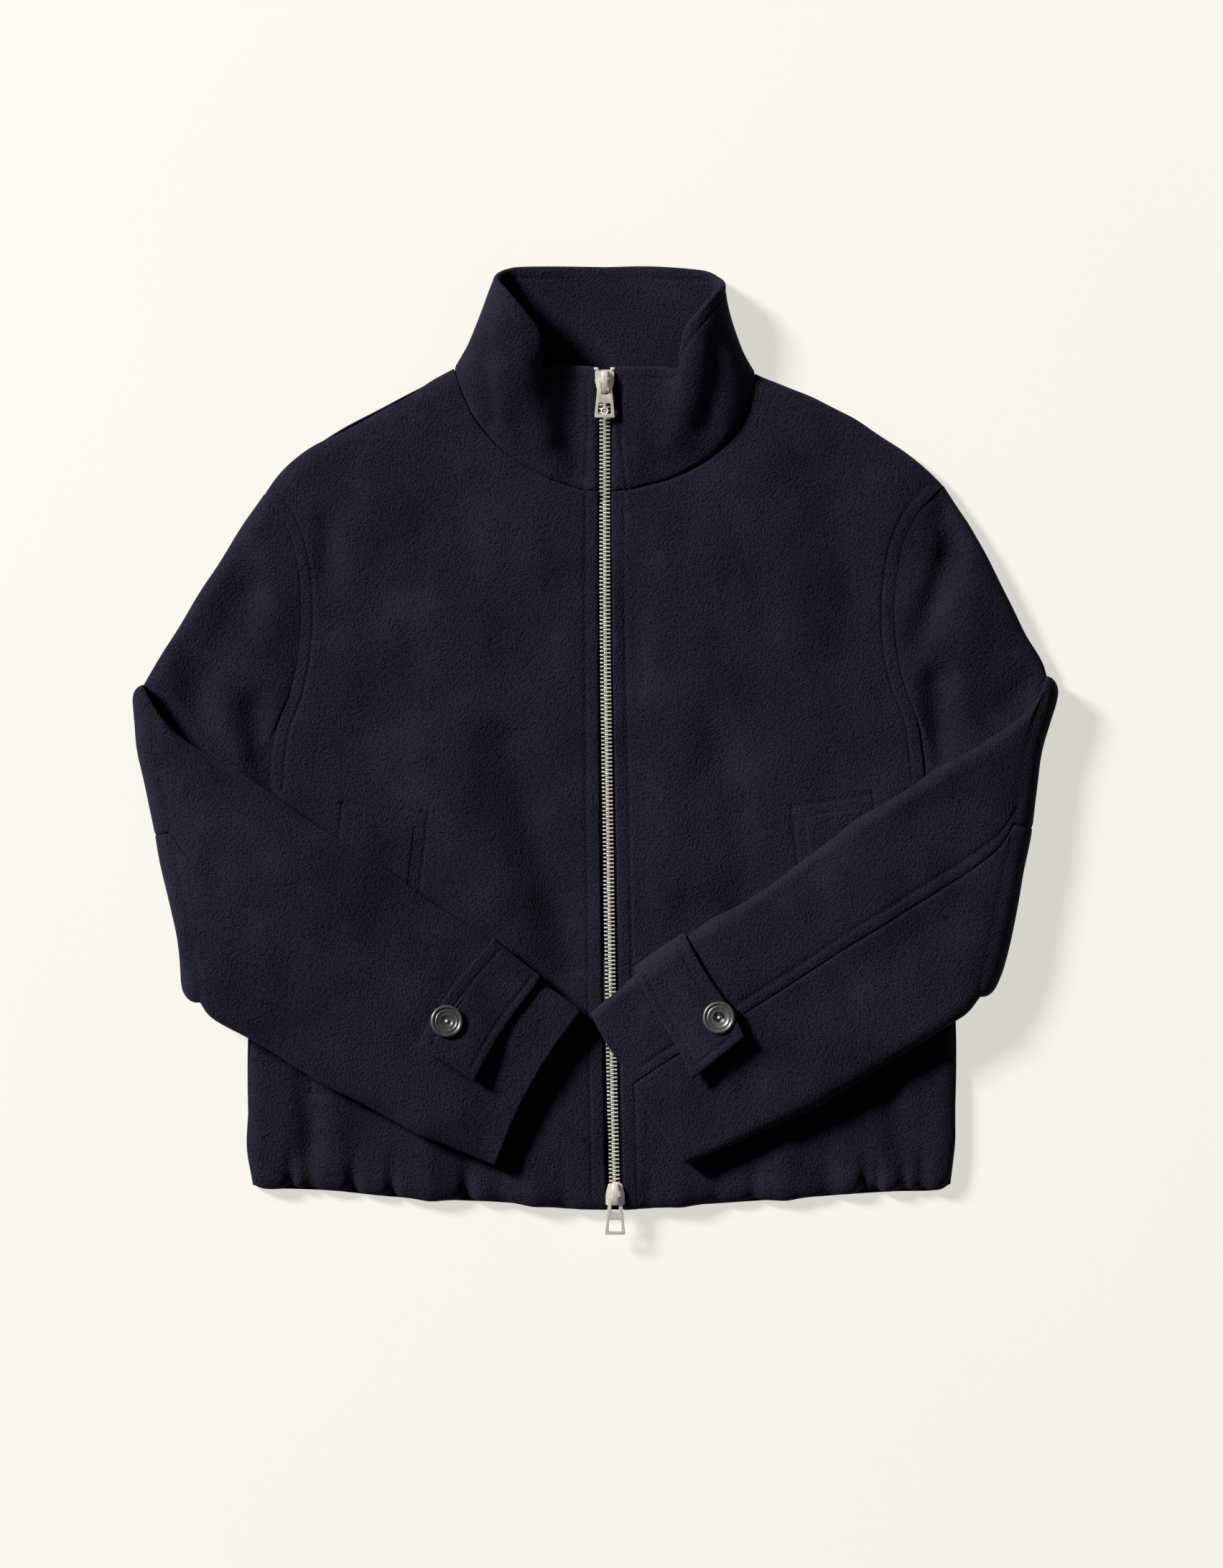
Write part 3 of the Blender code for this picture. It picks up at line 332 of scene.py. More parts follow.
# Outlines: x, y. "out" is the side away from the zip
OUTLINES = {
    "right": {
        "hem": ((8.1, -352), (-25, -351), (-69, -346.5), (-113, -344.5), (-157, -342),
                (-201, -337.5), (-234, -336), (-253, -336), (-262, -333)),
        "side": ((-262, -333), (-265.5, -310), (-266.5, -282.5), (-267, -238.5), (-265.5, -194.5),
                 (-261, -139.5), (-254, -73.5), (-249.5, -36)),
        "armhole": ((-249.5, -36), (-248, -10), (-244, 18.5), (-234, 45.5), (-227.5, 81), (-226.5, 120),
                    (-230, 149.5), (-238.5, 175), (-254, 196.5)),
        "shoulder": ((-108.5, 292.5), (-141.5, 276), (-166, 263), (-192, 249.5), (-212.5, 236.5),
                     (-229, 223.5), (-242.5, 210), (-254, 196.5)),
        "neck": ((1.7, 199), (-10.5, 200), (-33.5, 207.5), (-53.5, 217.5), (-71, 229.5),
                 (-81, 239.5), (-93, 254.5), (-102.5, 274.5), (-108.5, 292.5)),
        "back_neck": ((-108.5, 292.5), (-96, 284), (-76, 276.5), (-45, 271), (7, 268)),
        "arm_out": ((-254, 196.5), (-273, 170.5), (-290, 144), (-306, 117.5), (-322, 91.5),
                    (-331, 77), (-339, 63.5), (-346.5, 50.5)),
        "arm_in": ((-249.5, -36), (-262, -68), (-276, -104), (-290, -143), (-302.5, -192)),
        "fold": ((-346.5, 50.5), (-341.5, 38), (-338.5, 24), (-336, 8), (-330.5, -27.5), (-323.5, -67),
                 (-316, -106.5), (-308.5, -146.5), (-303.5, -170), (-302.5, -192)),
        "fore_top": ((-346.5, 50.5), (-334, 30), (-319, 12), (-295.5, -4), (-270, -19), (-252.5, -30.5),
                     (-230, -46), (-198, -66), (-144.5, -99.5), (-107.5, -126), (-77, -146.5),
                     (-44, -173), (-10.5, -198)),
        "fore_low": ((-302.5, -192), (-295.5, -202), (-281, -212.5), (-266, -221.5), (-225, -246),
                     (-209, -257), (-160.5, -281), (-121, -299), (-77, -317)),
        "cuff": ((-10.5, -198), (-32, -227), (-50, -256), (-65, -287), (-77, -317)),
        "pocket": ((-185.5, -51), (-139, -57), (-161.5, -260.5), (-208, -254)),
        "tab": ((-77.5, -142.5), (-40.5, -171), (-92.5, -252.5), (-136, -224.5)),
    },
    "left": {
        "hem": ((22, -352), (41, -351), (74, -348.5), (118.5, -345.5), (162, -342.5),
                (195.5, -340), (228.5, -338), (261, -337), (272, -332)),
        "side": ((272, -332), (274.5, -310), (275.5, -282.5), (276.5, -238.5), (275.5, -194.5),
                 (270.5, -139.5), (261, -73.5), (253, -28)),
        "armhole": ((253, -28), (249.5, 3.5), (246, 25.5), (235, 55), (229.5, 86), (229.5, 121.5),
                    (235.5, 157.5), (248.5, 184), (266.5, 202.5)),
        "shoulder": ((123, 290), (150, 277), (178, 264), (201.5, 251), (222, 238),
                     (240, 225), (256.5, 211.5), (266.5, 202.5)),
        "neck": ((12.3, 199), (25.5, 200), (37, 202.5), (58.5, 208.5), (78, 218), (95.5, 231),
                 (109.5, 247), (119.5, 267), (123, 290)),
        "back_neck": ((123, 290), (110, 281), (90, 275), (60, 270.5), (7, 268)),
        "arm_out": ((266.5, 202.5), (279, 183.5), (287.5, 170.5), (301.5, 144), (314.5, 117.5),
                    (328.5, 91.5), (337.5, 77), (343, 67), (346, 58)),
        "arm_in": ((253, -28), (262, -62), (272, -100), (285, -143), (294, -188)),
        "fold": ((346, 58), (343.5, 49), (339.5, 38), (334.5, 24), (328.5, -1), (320, -54),
                 (312, -93.5), (304.5, -133), (298.5, -160), (295, -175), (294, -188)),
        "fore_top": ((346, 58), (339, 44), (329, 31), (304.5, 12), (271, -9), (252, -20.5), (228.5, -36),
                     (192.5, -58), (161.5, -80), (120, -109), (88, -131), (60, -150),
                     (30.5, -170.5), (9.5, -186.5), (-5, -199)),
        "fore_low": ((294, -188), (285, -199.5), (275, -207.5), (242.5, -228.5), (193.5, -257),
                     (130, -290), (97, -306.5), (70, -318)),
        "cuff": ((-5, -199), (9.5, -226), (25.5, -249), (46, -285), (70, -318)),
        "pocket": ((160.5, -51), (203.5, -44), (226, -247.5), (183, -254.5)),
        "tab": ((69.5, -145), (30.5, -169), (74, -250.5), (114, -218.5)),
    },
}

# The collar: share along the seam (0 at the zip, 1 at the shoulder, 2 at the centre back),
# then x, y, z of its outer face half way up and at its top edge
COLLAR_ROWS = {
    "right": (
        (0.00, (1.7, 246.5, 19.5), (1.5, 293.5, 26)),
        (0.12, (-10, 246.5, 20), (-12, 294, 26.5)),
        (0.30, (-26, 250, 22), (-28.5, 294, 28)),
        (0.45, (-40, 255, 25.5), (-41, 293.5, 31)),
        (0.60, (-53, 263, 29.5), (-40.5, 309, 38)),
        (0.75, (-66.5, 274, 34), (-43, 322.5, 43.5)),
        (0.87, (-77, 291.5, 36), (-55.5, 337, 47.5)),
        (0.95, (-86, 312.5, 34), (-68, 351, 44)),
        (1.00, (-89.5, 327, 24), (-77.5, 362, 30)),
        (1.08, (-86.5, 337, 8), (-73, 369, 15)),
        (1.20, (-71, 330.5, 1.5), (-62.5, 371.5, 5)),
        (1.50, (-35.5, 323.5, 0), (-32.5, 372, 1.5)),
        (2.00, (7, 321, 0), (7, 371.5, 1)),
    ),
    "left": (
        (0.00, (12.4, 246.5, 19.5), (12.3, 293.5, 26)),
        (0.12, (23.5, 246.5, 20), (26, 294, 26.5)),
        (0.30, (41.5, 250, 22), (45.5, 294, 28)),
        (0.45, (58, 255, 25.5), (62.5, 293.5, 31)),
        (0.60, (72.5, 264, 29.5), (64, 308.5, 37)),
        (0.75, (85.5, 275.5, 33), (68, 324, 43)),
        (0.87, (95, 292, 34), (79, 336, 46.5)),
        (0.95, (101.5, 308.5, 31), (89.5, 347, 43)),
        (1.00, (105.5, 322, 22), (99, 357.5, 30)),
        (1.08, (101.5, 334, 8), (94.5, 364, 14)),
        (1.20, (88.5, 329, 1.5), (82.5, 369, 5)),
        (1.50, (48.5, 323.5, 0), (44.5, 372, 1.5)),
        (2.00, (7, 321, 0), (7, 371.5, 1)),
    ),
}

# Sleeve sections: share of the way along, thickness of the sleeve, height of its underside
UPPER_ARM = ((0.0, 14.5, 0.0), (0.09, 16.6, 0.0), (0.2, 18.0, 0.0), (0.4, 18.0, 0.0),
             (0.6, 18.0, 0.0), (0.8, 17.6, 0.0), (0.92, 14.0, 1.6), (1.0, 10.0, 4.3))
FOREARM = ((0.0, 10.0, 22.9), (0.05, 14.4, 20.4), (0.12, 17.4, 18.9), (0.25, 18.0, 18.4),
           (0.4, 18.0, 18.0), (0.55, 17.8, 17.6), (0.7, 17.4, 17.2), (0.85, 16.6, 16.4), (1.0, 15.6, 15.8))

# Soft troughs (and ridges, with a depth under 0): x, y of both ends, depth, half width
TROUGHS = {
    "front_right": ((-207, 170, -209, 138, 2.2, 11), (-219, -247, -221, -310, 1.8, 10),
                    (-186, -322, -187, -345, 1.5, 9), (-99, -322, -101, -345, 1.5, 9),
                    (-236, -318, -233, -345, 1.2, 8), (-60, 60, -25, -120, 1.2, 30)),
    "front_left": ((206, 150, 203, 110, 1.6, 11), (214, -322, 208, -345, 1.5, 9),
                   (247, -265, 248, -315, 1.5, 10), (150, -325, 152, -345, 1.2, 9),
                   (60, 180, 95, 20, -1.0, 26)),
    "top_sleeve_right": ((-318, 78, -298, 28, 3.6, 15), (-262, 90, -256, -5, 2.0, 13)),
    "top_sleeve_left": ((269, 186, 272, 150, 3.0, 12), (272, 150, 243, 78, 3.0, 12),
                        (262, 56, 268, 0, 3.0, 12)),
}

# %% [markdown]
# A panel is filled in between its four edges, as a sheet of cloth that is pinned along them. These
# helpers draw the smooth edges, fill them, and find how far a place is from a line.

# %% Curves and patches
def smooth(points, steps=10):
    """A dense curve that passes smoothly through the points."""
    p = np.asarray(points, float)
    p = np.vstack([2 * p[0] - p[1], p, 2 * p[-1] - p[-2]])
    t = np.arange(steps)[:, None] / steps
    spans = [
        0.5 * (2 * b + (c - a) * t + (2 * a - 5 * b + 4 * c - d) * t**2 + (3 * b - a - 3 * c + d) * t**3)
        for a, b, c, d in zip(p, p[1:], p[2:], p[3:])
    ]
    return np.vstack([*spans, p[-2:-1]])


class Route:
    """A smooth curve read by the share of its length."""

    def __init__(self, points):
        self.line = smooth(points)
        steps = np.linalg.norm(np.diff(self.line, axis=0), axis=1)
        self.arc = np.concatenate([[0], np.cumsum(steps)])
        self.length = self.arc[-1]

    def at(self, share):
        where = np.asarray(share, float) * self.length
        return np.stack([np.interp(where, self.arc, column) for column in self.line.T], axis=-1)

    def beside(self, share, by):
        """The curve moved to the left of its way on by this much."""
        share = np.asarray(share, float)
        way = self.at(np.minimum(share + 0.01, 1)) - self.at(np.maximum(share - 0.01, 0))
        way /= np.linalg.norm(way, axis=1)[:, None]
        return self.at(share) + by * np.column_stack([-way[:, 1], way[:, 0]])


def table_curve(rows):
    """Reads a table's columns at any value of its first, along smooth curves."""
    line = smooth(rows)
    return lambda at: np.stack([np.interp(at, line[:, 0], c) for c in line.T[1:]], axis=-1)


ROUTES = {side: {name: Route(points) for name, points in rows.items()} for side, rows in OUTLINES.items()}
zip_at = table_curve(ZIP_ROWS)


def patch(bottom, top, left, right, u, v, fade=1):
    """Fills four edges. A higher fade keeps the bends of the left and right edges near them."""
    u, v = u[None, :, None], v[:, None, None]
    low, high = ((1 - u) * edge[0] + u * edge[-1] for edge in (bottom, top))
    near, far = ((1 - v) * bottom[end] + v * top[end] for end in (0, -1))
    flat = (1 - v) * low + v * high
    along = (1 - v) * (bottom[None] - low) + v * (top[None] - high)
    across = (1 - u) ** fade * (left[:, None] - near) + u**fade * (right[:, None] - far)
    return flat + along + across


def nearest(points, line):
    """The distance from each point to a line of points, and the way there."""
    a, b = line[:-1], line[1:]
    step = b - a
    share = np.einsum("pkd,kd->pk", points[:, None] - a, step) / np.maximum((step**2).sum(1), 1e-9)
    foot = a + np.clip(share, 0, 1)[..., None] * step
    away = foot - points[:, None]
    far = np.linalg.norm(away, axis=2)
    best = far.argmin(axis=1)
    rows = np.arange(len(points))
    return far[rows, best], away[rows, best]

# %% [markdown]
# The front stands on the floor's height at its side and shoulder seams, rounds over, and runs on
# nearly flat. Near the hem it rolls under, because the hem is turned up and drawn in.

# %% Front and back faces
def relief(points, name):
    """How far the soft troughs of a piece lower these points."""
    total = np.zeros(len(points))
    for x1, y1, x2, y2, depth, width in TROUGHS[name]:
        far, _ = nearest(points, np.array([[x1, y1], [x2, y2]], float))
        total += depth * np.exp(-((far / width) ** 2))
    return total


def rounding(points, side):
    """The rounding over at the side and shoulder seams: sine and cosine of its angle, and the way out."""
    routes = ROUTES[side]
    free = [nearest(points, routes[name].line) for name in ("side", "shoulder")]
    nearer = free[1][0] < free[0][0]
    far = np.where(nearer, free[1][0], free[0][0])
    way = np.where(nearer[:, None], free[1][1], free[0][1])
    cosine = np.clip(1 - far / EDGE_ROUND, 0, 1)
    outward = way / np.maximum(far, 1e-6)[:, None]
    if (far < 1e-6).any():
        centre = np.array([7.0, 0.0])
        outward[far < 1e-6] = -(centre - points[far < 1e-6])
        outward /= np.maximum(np.linalg.norm(outward, axis=1), 1e-6)[:, None]
    return np.sqrt(1 - cosine**2), cosine, outward


def front_skin(points, side, up=0.0):
    """The front's outer face at these x, y, moved out by up, and the way out of the cloth."""
    sine, cosine, outward = rounding(points, side)
    low = SEAM_HEIGHT + SEAM_GAP / 2
    far, _ = nearest(points, ROUTES[side]["hem"].line)
    middle = zip_at(points[:, 1])[:, 0]
    fade = np.clip((np.abs(points[:, 0] - middle) - ZIP_FLAT) / ZIP_FADE, 0, 1)
    hem = np.clip(1 - far / HEM_ROUND, 0, 1)
    drop = HEM_DROP * (1 - np.sqrt(1 - hem**2)) * fade * (3 - 2 * fade) * fade
    height = low + (BODY_HEIGHT - low) * sine - (drop + relief(points, "front_" + side)) * sine**2
    normal = np.column_stack([outward * cosine[:, None], sine])
    return np.column_stack([points, height]) + up * normal, normal


def back_skin(points, side):
    """The back's outer face at these x, y, and the way out of the cloth."""
    sine, cosine, outward = rounding(points, side)
    height = (SEAM_HEIGHT - SEAM_GAP / 2) * (1 - sine)
    return np.column_stack([points, height]), np.column_stack([outward * cosine[:, None], -sine])


def zip_edge(side, y):
    """The front's edge beside the zip."""
    middle, gap, _ = zip_at(y).T
    return np.column_stack([middle + (gap if side == "left" else -gap), y])

# %% Sleeves
def with_ends(shares):
    """The shares with both ends of the section added."""
    return np.concatenate([[0], shares, [1]])


class Sleeve:
    """A flattened tube from the armhole to the elbow fold, round it, and on to the cuff."""

    def __init__(self, side):
        self.side = side
        self.routes = ROUTES[side]
        self.height = {"upper": table_curve(UPPER_ARM), "fore": table_curve(FOREARM)}
        ends = self.routes["fold"].at([0, 1])
        along = (ends[1] - ends[0]) / np.linalg.norm(ends[1] - ends[0])
        self.out = np.array([along[1], -along[0]]) * (1 if side == "right" else -1)

    def plan(self, part, along, shares):
        """Points of the sleeve seen from above, a row for each section, with both its ends added."""
        r = self.routes
        shares = with_ends(shares)
        if part == "upper":
            away = SIDE_STEP if self.side == "right" else -SIDE_STEP
            first = r["armhole"].beside(1 - shares, away)
            edges = (first, r["fold"].at(shares), r["arm_out"].at(along), r["arm_in"].at(along))
        else:
            edges = (r["fold"].at(shares), r["cuff"].at(shares), r["fore_top"].at(along),
                     r["fore_low"].at(along))
        first, last, left, right = edges
        if part == "upper":
            left[0], right[0] = first[0], first[-1]
        return patch(first, last, left, right, shares, along)

    def skin(self, part, along, shares, layer):
        """The outer face and the way out of it. Layer 1 faces up on the upper arm, down on the forearm."""
        plan = self.plan(part, along, shares)
        thick, under = self.height[part](along).T
        up = 1.0 if part == "upper" else -1.0
        middle = under + thick / 2
        return self.wrap(plan, middle, thick, shares, layer, np.array([0, 0, up]))

    def wrap(self, plan, middle, thick, shares, layer, up):
        """Rounds a flat section over at its ends. The two ends that the plan adds are left off."""
        end = np.minimum(shares, 1 - shares) / END_SHARE
        cosine = np.clip(1 - end, 0, 1)
        sine = np.sqrt(1 - cosine**2)
        across = plan[:, -1] - plan[:, 0]
        across /= np.linalg.norm(across, axis=1)[:, None]
        plan = plan[:, 1:-1]
        outward = np.where(shares < 0.5, -1, 1)[None, :, None] * across[:, None]
        gap = np.where(shares < 0.5, 0, SEAM_GAP / 2)
        rise = layer * (gap + (thick[:, None] / 2 - gap) * sine)
        height = np.broadcast_to(np.asarray(middle, float)[:, None], rise.shape)
        points = np.concatenate([plan, height[..., None]], axis=2) + rise[..., None] * up
        normal = np.concatenate([outward * cosine[:, None], np.zeros((*rise.shape, 1))], axis=2)
        return points, normal + (layer * sine)[:, None] * up

    def turn(self, angle, shares, layer):
        """One section on the way round the elbow fold, whose two corners are tight."""
        shares_round = with_ends(shares)
        from_corner = np.minimum(shares_round, 1 - shares_round) / CORNER_SHARE
        bulge = FOLD_RADIUS * math.sin(angle) * np.sqrt(1 - np.clip(1 - from_corner, 0, 1) ** 2)
        plan = (self.routes["fold"].at(shares_round) + self.out * bulge[:, None])[None]
        thick = np.array([self.height["fore"](0.0)[0]])
        out = np.array([*self.out, 0.0])
        up = np.array([0, 0, math.cos(angle)]) - out * math.sin(angle)
        middle = np.array([FOLD_MIDDLE - FOLD_RADIUS * math.cos(angle)])
        return self.wrap(plan, middle, thick, shares, layer, up)

    def locate(self, spot):
        """The share along the forearm and across it of a point seen from above."""
        at = np.array([0.7, 0.3])
        for _ in range(12):
            here, along, across = (
                self.plan("fore", np.array([at[0] + a]), np.array([at[1] + b]))[0, 1]
                for a, b in ((0, 0), (1e-3, 0), (0, 1e-3))
            )
            turn = np.column_stack([(along - here) / 1e-3, (across - here) / 1e-3])
            at = at + np.linalg.solve(turn, np.asarray(spot) - here)
        return at


# %% [markdown]
# In the render a panel is a closed wall between two fine grids of points, about 3 mm apart. Its
# shape is made in four steps: the solid's form, a slow unevenness that is the same on both sides of
# a seam, edges that roll into their seams, and a wall behind the face. A grid of this size is made
# faster and truer from arrays than by hand, so these shells are built in mesh code.

# %% Cloth shells
STEP = 3.0
THIN_WALL = 2.2
SEAM_ROLL = (0.95, 2.8)  # how deep an edge sinks into its seam, and over what width
FREE_ROLL = (0.95, 1.9)  # an edge that is turned in and pressed
ALLOWANCE, ALLOWANCE_DROP = 1.6, 1.3  # of a seam, and how far it lies under the face
NEAR_EDGE = np.array([0, 0.45, 1.1, 2.0, 3.2])


def spaced(length, first=True, last=True):
    """Shares of a length, even but closer together towards an edge."""
    start = NEAR_EDGE if first else np.array([0.0])
    end = length - (NEAR_EDGE if last else np.array([0.0]))[::-1]
    count = max(2, round((end[0] - start[-1]) / STEP))
    return np.concatenate([start, np.linspace(start[-1], end[0], count + 1)[1:-1], end]) / length


def ripple(points):
    """The slow unevenness of cloth that lies loose."""
    random = np.random.default_rng(11)
    total = np.zeros(points.shape[:-1])
    for length in (190, 130, 92, 64, 45, 33):
        for _ in range(2):
            turn, phase = random.uniform(0, 2 * math.pi, 2)
            way = np.array([math.cos(turn), math.sin(turn)])
            total += 0.0048 * length * np.sin(points[..., :2] @ way * 2 * math.pi / length + phase)
    return total


def run(grid, axis):
    """How far each point is from the first row or column, along the cloth."""
    steps = np.linalg.norm(np.diff(grid, axis=axis), axis=2)
    return np.cumsum(np.insert(steps, 0, 0, axis=axis), axis=axis)


def edge_distances(grid):
    across, up = run(grid, 1), run(grid, 0)
    return {"first_column": across, "last_column": across[:, -1:] - across,
            "first_row": up, "last_row": up[-1:] - up}


def roll(far, depth, width):
    return depth * (1 - np.sqrt(1 - np.clip(1 - far / width, 0, 1) ** 2))


def dented(face, normal, creases):
    """Presses soft valleys, or ridges where a depth is negative, into the parts that face up."""
    deep = np.zeros(face.shape[:2])
    for line, depth, width in creases:
        far = nearest(face[..., :2].reshape(-1, 2), evenly(line, 4.0))[0].reshape(deep.shape)
        deep += depth * np.exp(-((far / width) ** 2))
    return face - (deep * np.clip(normal[..., 2], 0, 1))[..., None] * normal


def tucked(form, normal, edges):
    """Adds a seam allowance beyond each named edge, which lies behind the next panel."""
    for edge in edges:
        axis, first = (0 if "row" in edge else 1), edge.startswith("first")
        last, before = (np.take(form, [k], axis) for k in ((0, 1) if first else (-1, -2)))
        out = np.take(normal, [0 if first else -1], axis)
        way = (last - before) / np.linalg.norm(last - before, axis=2)[..., None]
        extra = last + ALLOWANCE * way - ALLOWANCE_DROP * out
        form, normal = (np.concatenate(pair if first else pair[::-1], axis)
                        for pair in ((extra, form), (out, normal)))
    return form, normal


def shell(name, form, normal, wall, seams=(), free=(), waves=1.0, creases=(), roll_in=FREE_ROLL):
    """A cloth panel on a form, with its edges rolled in. The form is its outer face."""
    face = dented(form + (ripple(form) * waves)[..., None] * normal, normal, creases)
    far = edge_distances(face)
    sunk = sum((roll(far[edge], *SEAM_ROLL) for edge in seams), np.zeros(face.shape[:2]))
    pressed = sum((roll(far[edge], *roll_in) for edge in free), np.zeros(face.shape[:2]))
    outer = face - np.minimum(sunk + pressed, wall * 0.45)[..., None] * normal
    inner = face - (wall - np.minimum(pressed, wall * 0.45))[..., None] * normal
    panel = grid_mesh(name, outer, inner)
    panel.data.materials.append(wool)
    lengths = (run(face, 1)[:, -1].max() * MM, run(face, 0)[-1].max() * MM)
    sides = np.cross(face[1:, :-1] - face[:-1, :-1], face[:-1, 1:] - face[:-1, :-1])
    area = min(np.linalg.norm(sides, axis=2).sum() * MM * MM, lengths[0] * lengths[1])
    area = max(area, 0.3 * lengths[0] * lengths[1])
    print(f"{name}: {face.shape[0]} x {face.shape[1]} points,",
          f"cut {lengths[0]:.3f} x {lengths[1]:.3f} m, {area:.4f} m2")
    return panel, {"flat": lengths, "area": area, "outer": outer, "inner": inner}


def grid_mesh(name, outer, inner):
    """Two grids of points joined along their rims into one closed mesh that faces outwards."""
    rows, columns = outer.shape[:2]
    count = rows * columns
    index = np.arange(count).reshape(rows, columns)
    quads = np.stack([index[:-1, :-1], index[:-1, 1:], index[1:, 1:], index[1:, :-1]], -1).reshape(-1, 4)
    ring = np.concatenate([index[0, :-1], index[:-1, -1], index[-1, :0:-1], index[:0:-1, 0]])
    after = np.roll(ring, -1)
    rim = np.stack([ring, ring + count, after + count, after], -1)
    faces = np.concatenate([quads, quads[:, ::-1] + count, rim])
    points = np.concatenate([outer.reshape(-1, 3), inner.reshape(-1, 3)]) * MM
    a, b, c, d = (points[faces[:, k]] for k in range(4))
    volume = (np.einsum("ij,ij->i", a, np.cross(b, c)) + np.einsum("ij,ij->i", a, np.cross(c, d))).sum()
    if volume < 0:
        faces = faces[:, ::-1]
    data = bpy.data.meshes.new(name)
    data.from_pydata(points.tolist(), [], faces.tolist())
    data.shade_smooth()
    piece = bpy.data.objects.new(name, data)
    bpy.context.scene.collection.objects.link(piece)
    return piece


def belongs(piece, slot, *nodes, body="jacket"):
    """Ties a piece to its body and hides the solids that it stands for. The slot, its finish, is not used."""
    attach(piece, body)
    if nodes:
        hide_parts(*nodes)


# %% [markdown]
# A line of stitching presses a narrow channel into thick wool. The faces near a line are divided
# finer first, and then each point sinks by a bell-shaped amount. The same tool makes the wider
# creases, which need no finer faces.

# %% Pressed lines
FINE_REACH = 3.4


def near_line(points, line, reach):
    """Which points are within reach of a line, and how far each is."""
    inside = np.flatnonzero(((points > line.min(0) - reach) & (points < line.max(0) + reach)).all(axis=1))
    far = [nearest(points[part], line)[0] for part in np.array_split(inside, len(inside) // 2500 + 1)
           if len(part)]
    far = np.concatenate(far) if far else np.zeros(0)
    return inside[far < reach], far[far < reach]


def coordinates(data, normals=False):
    """The places of a mesh's vertices, or the ways they face."""
    source, field = (data.vertex_normals, "vector") if normals else (data.vertices, "co")
    found = np.zeros(len(data.vertices) * 3)
    source.foreach_get(field, found)
    return found.reshape(-1, 3)


def press(panel, lines):
    """Sinks lines into a panel. Each line is its points, a depth and a half width in millimetres."""
    data = panel.data
    fine = [line for line, _, width in lines if width < FINE_REACH / 2]
    if fine:
        marked = np.zeros(len(data.vertices), bool)
        points = coordinates(data) / MM
        for line in fine:
            marked[near_line(points, line, FINE_REACH)[0]] = True
        mesh = bmesh.new()
        mesh.from_mesh(data)
        mesh.verts.ensure_lookup_table()
        edges = [e for e in mesh.edges if marked[e.verts[0].index] and marked[e.verts[1].index]]
        bmesh.ops.subdivide_edges(mesh, edges=edges, cuts=2, use_grid_fill=True)
        mesh.to_mesh(data)
        mesh.free()
        data.shade_smooth()
    points, normals = coordinates(data) / MM, coordinates(data, normals=True)
    sunk = np.zeros(len(points))
    for line, depth, width in lines:
        which, far = near_line(points, line, 2.6 * abs(width))
        sunk[which] += depth * np.exp(-((far / width) ** 2))
    points -= sunk[:, None] * normals
    data.vertices.foreach_set("co", (points * MM).ravel())
    data.update()


def tree_of(panel):
    return BVHTree.FromPolygons([v.co for v in panel.data.vertices],
                                [list(p.vertices) for p in panel.data.polygons])


def drop(tree, line):
    """Lays a line seen from above onto a panel: its points there, and the way out of the cloth."""
    hits = [tree.ray_cast(Vector((x * MM, y * MM, 0.2)), Vector((0, 0, -1))) for x, y in line]
    hits = [hit for hit in hits if hit[0] is not None]
    return np.array([hit[0] for hit in hits]) / MM, np.array([hit[1] for hit in hits])


def evenly(points, step=1.5):
    """Points along a smooth curve, one step apart."""
    route = Route(points)
    return route.at(np.linspace(0, 1, max(2, round(route.length / step) + 1)))


# %% [markdown]
# A stitch is a short rounded bar of thread, modelled once from an icosphere and copied along each
# line. A real topstitch in thick wool is about 3.4 mm long with a small gap before the next, and
# sinks so far into the nap that only its back shows.

# %% Stitches
STITCH_PITCH, STITCH_LONG, STITCH_WIDE = 4.0, 2.9, 0.62
CHANNEL = (0.85, 1.2)  # depth and half width of the channel under a line of stitches

bpy.ops.object.select_all(action="DESELECT")
bpy.ops.mesh.primitive_ico_sphere_add(subdivisions=1, radius=0.5)
stitch_form = bpy.context.object
stitch_points = coordinates(stitch_form.data) * np.array([STITCH_LONG, STITCH_WIDE, STITCH_WIDE])
stitch_faces = np.array([list(p.vertices) for p in stitch_form.data.polygons])
bpy.data.objects.remove(stitch_form)


def copies(name, points, faces, places, material):
    """One mesh of many copies of a small form, each at its own place: origin and three axes."""
    count = len(points)
    every = np.concatenate([origin + points @ axes for origin, axes in places])
    index = np.concatenate([faces + count * k for k in range(len(places))])
    data = bpy.data.meshes.new(name)
    data.from_pydata((every * MM).tolist(), [], index.tolist())
    data.shade_smooth()
    data.materials.append(material)
    piece = bpy.data.objects.new(name, data)
    bpy.context.scene.collection.objects.link(piece)
    return piece


def sew(name, lines):
    """Stitches along lines of points with the way out of the cloth at each."""
    places = []
    for line, normals in lines:
        arc = np.concatenate([[0], np.cumsum(np.linalg.norm(np.diff(line, axis=0), axis=1))])
        for at in np.arange(STITCH_PITCH / 2, arc[-1], STITCH_PITCH):
            here = np.array([np.interp(at, arc, c) for c in line.T])
            out = np.array([np.interp(at, arc, c) for c in normals.T])
            way = np.array([np.interp(at + 1, arc, c) - np.interp(at - 1, arc, c) for c in line.T])
            out /= np.linalg.norm(out)
            way -= (way @ out) * out
            way /= np.linalg.norm(way)
            places.append((here - (CHANNEL[0] - 0.16) * out, np.stack([way, np.cross(out, way), out])))
    piece = copies(name, stitch_points, stitch_faces, places, thread)
    belongs(piece, "wool")
    print(f"{name}: {len(places)} stitches")
    return piece


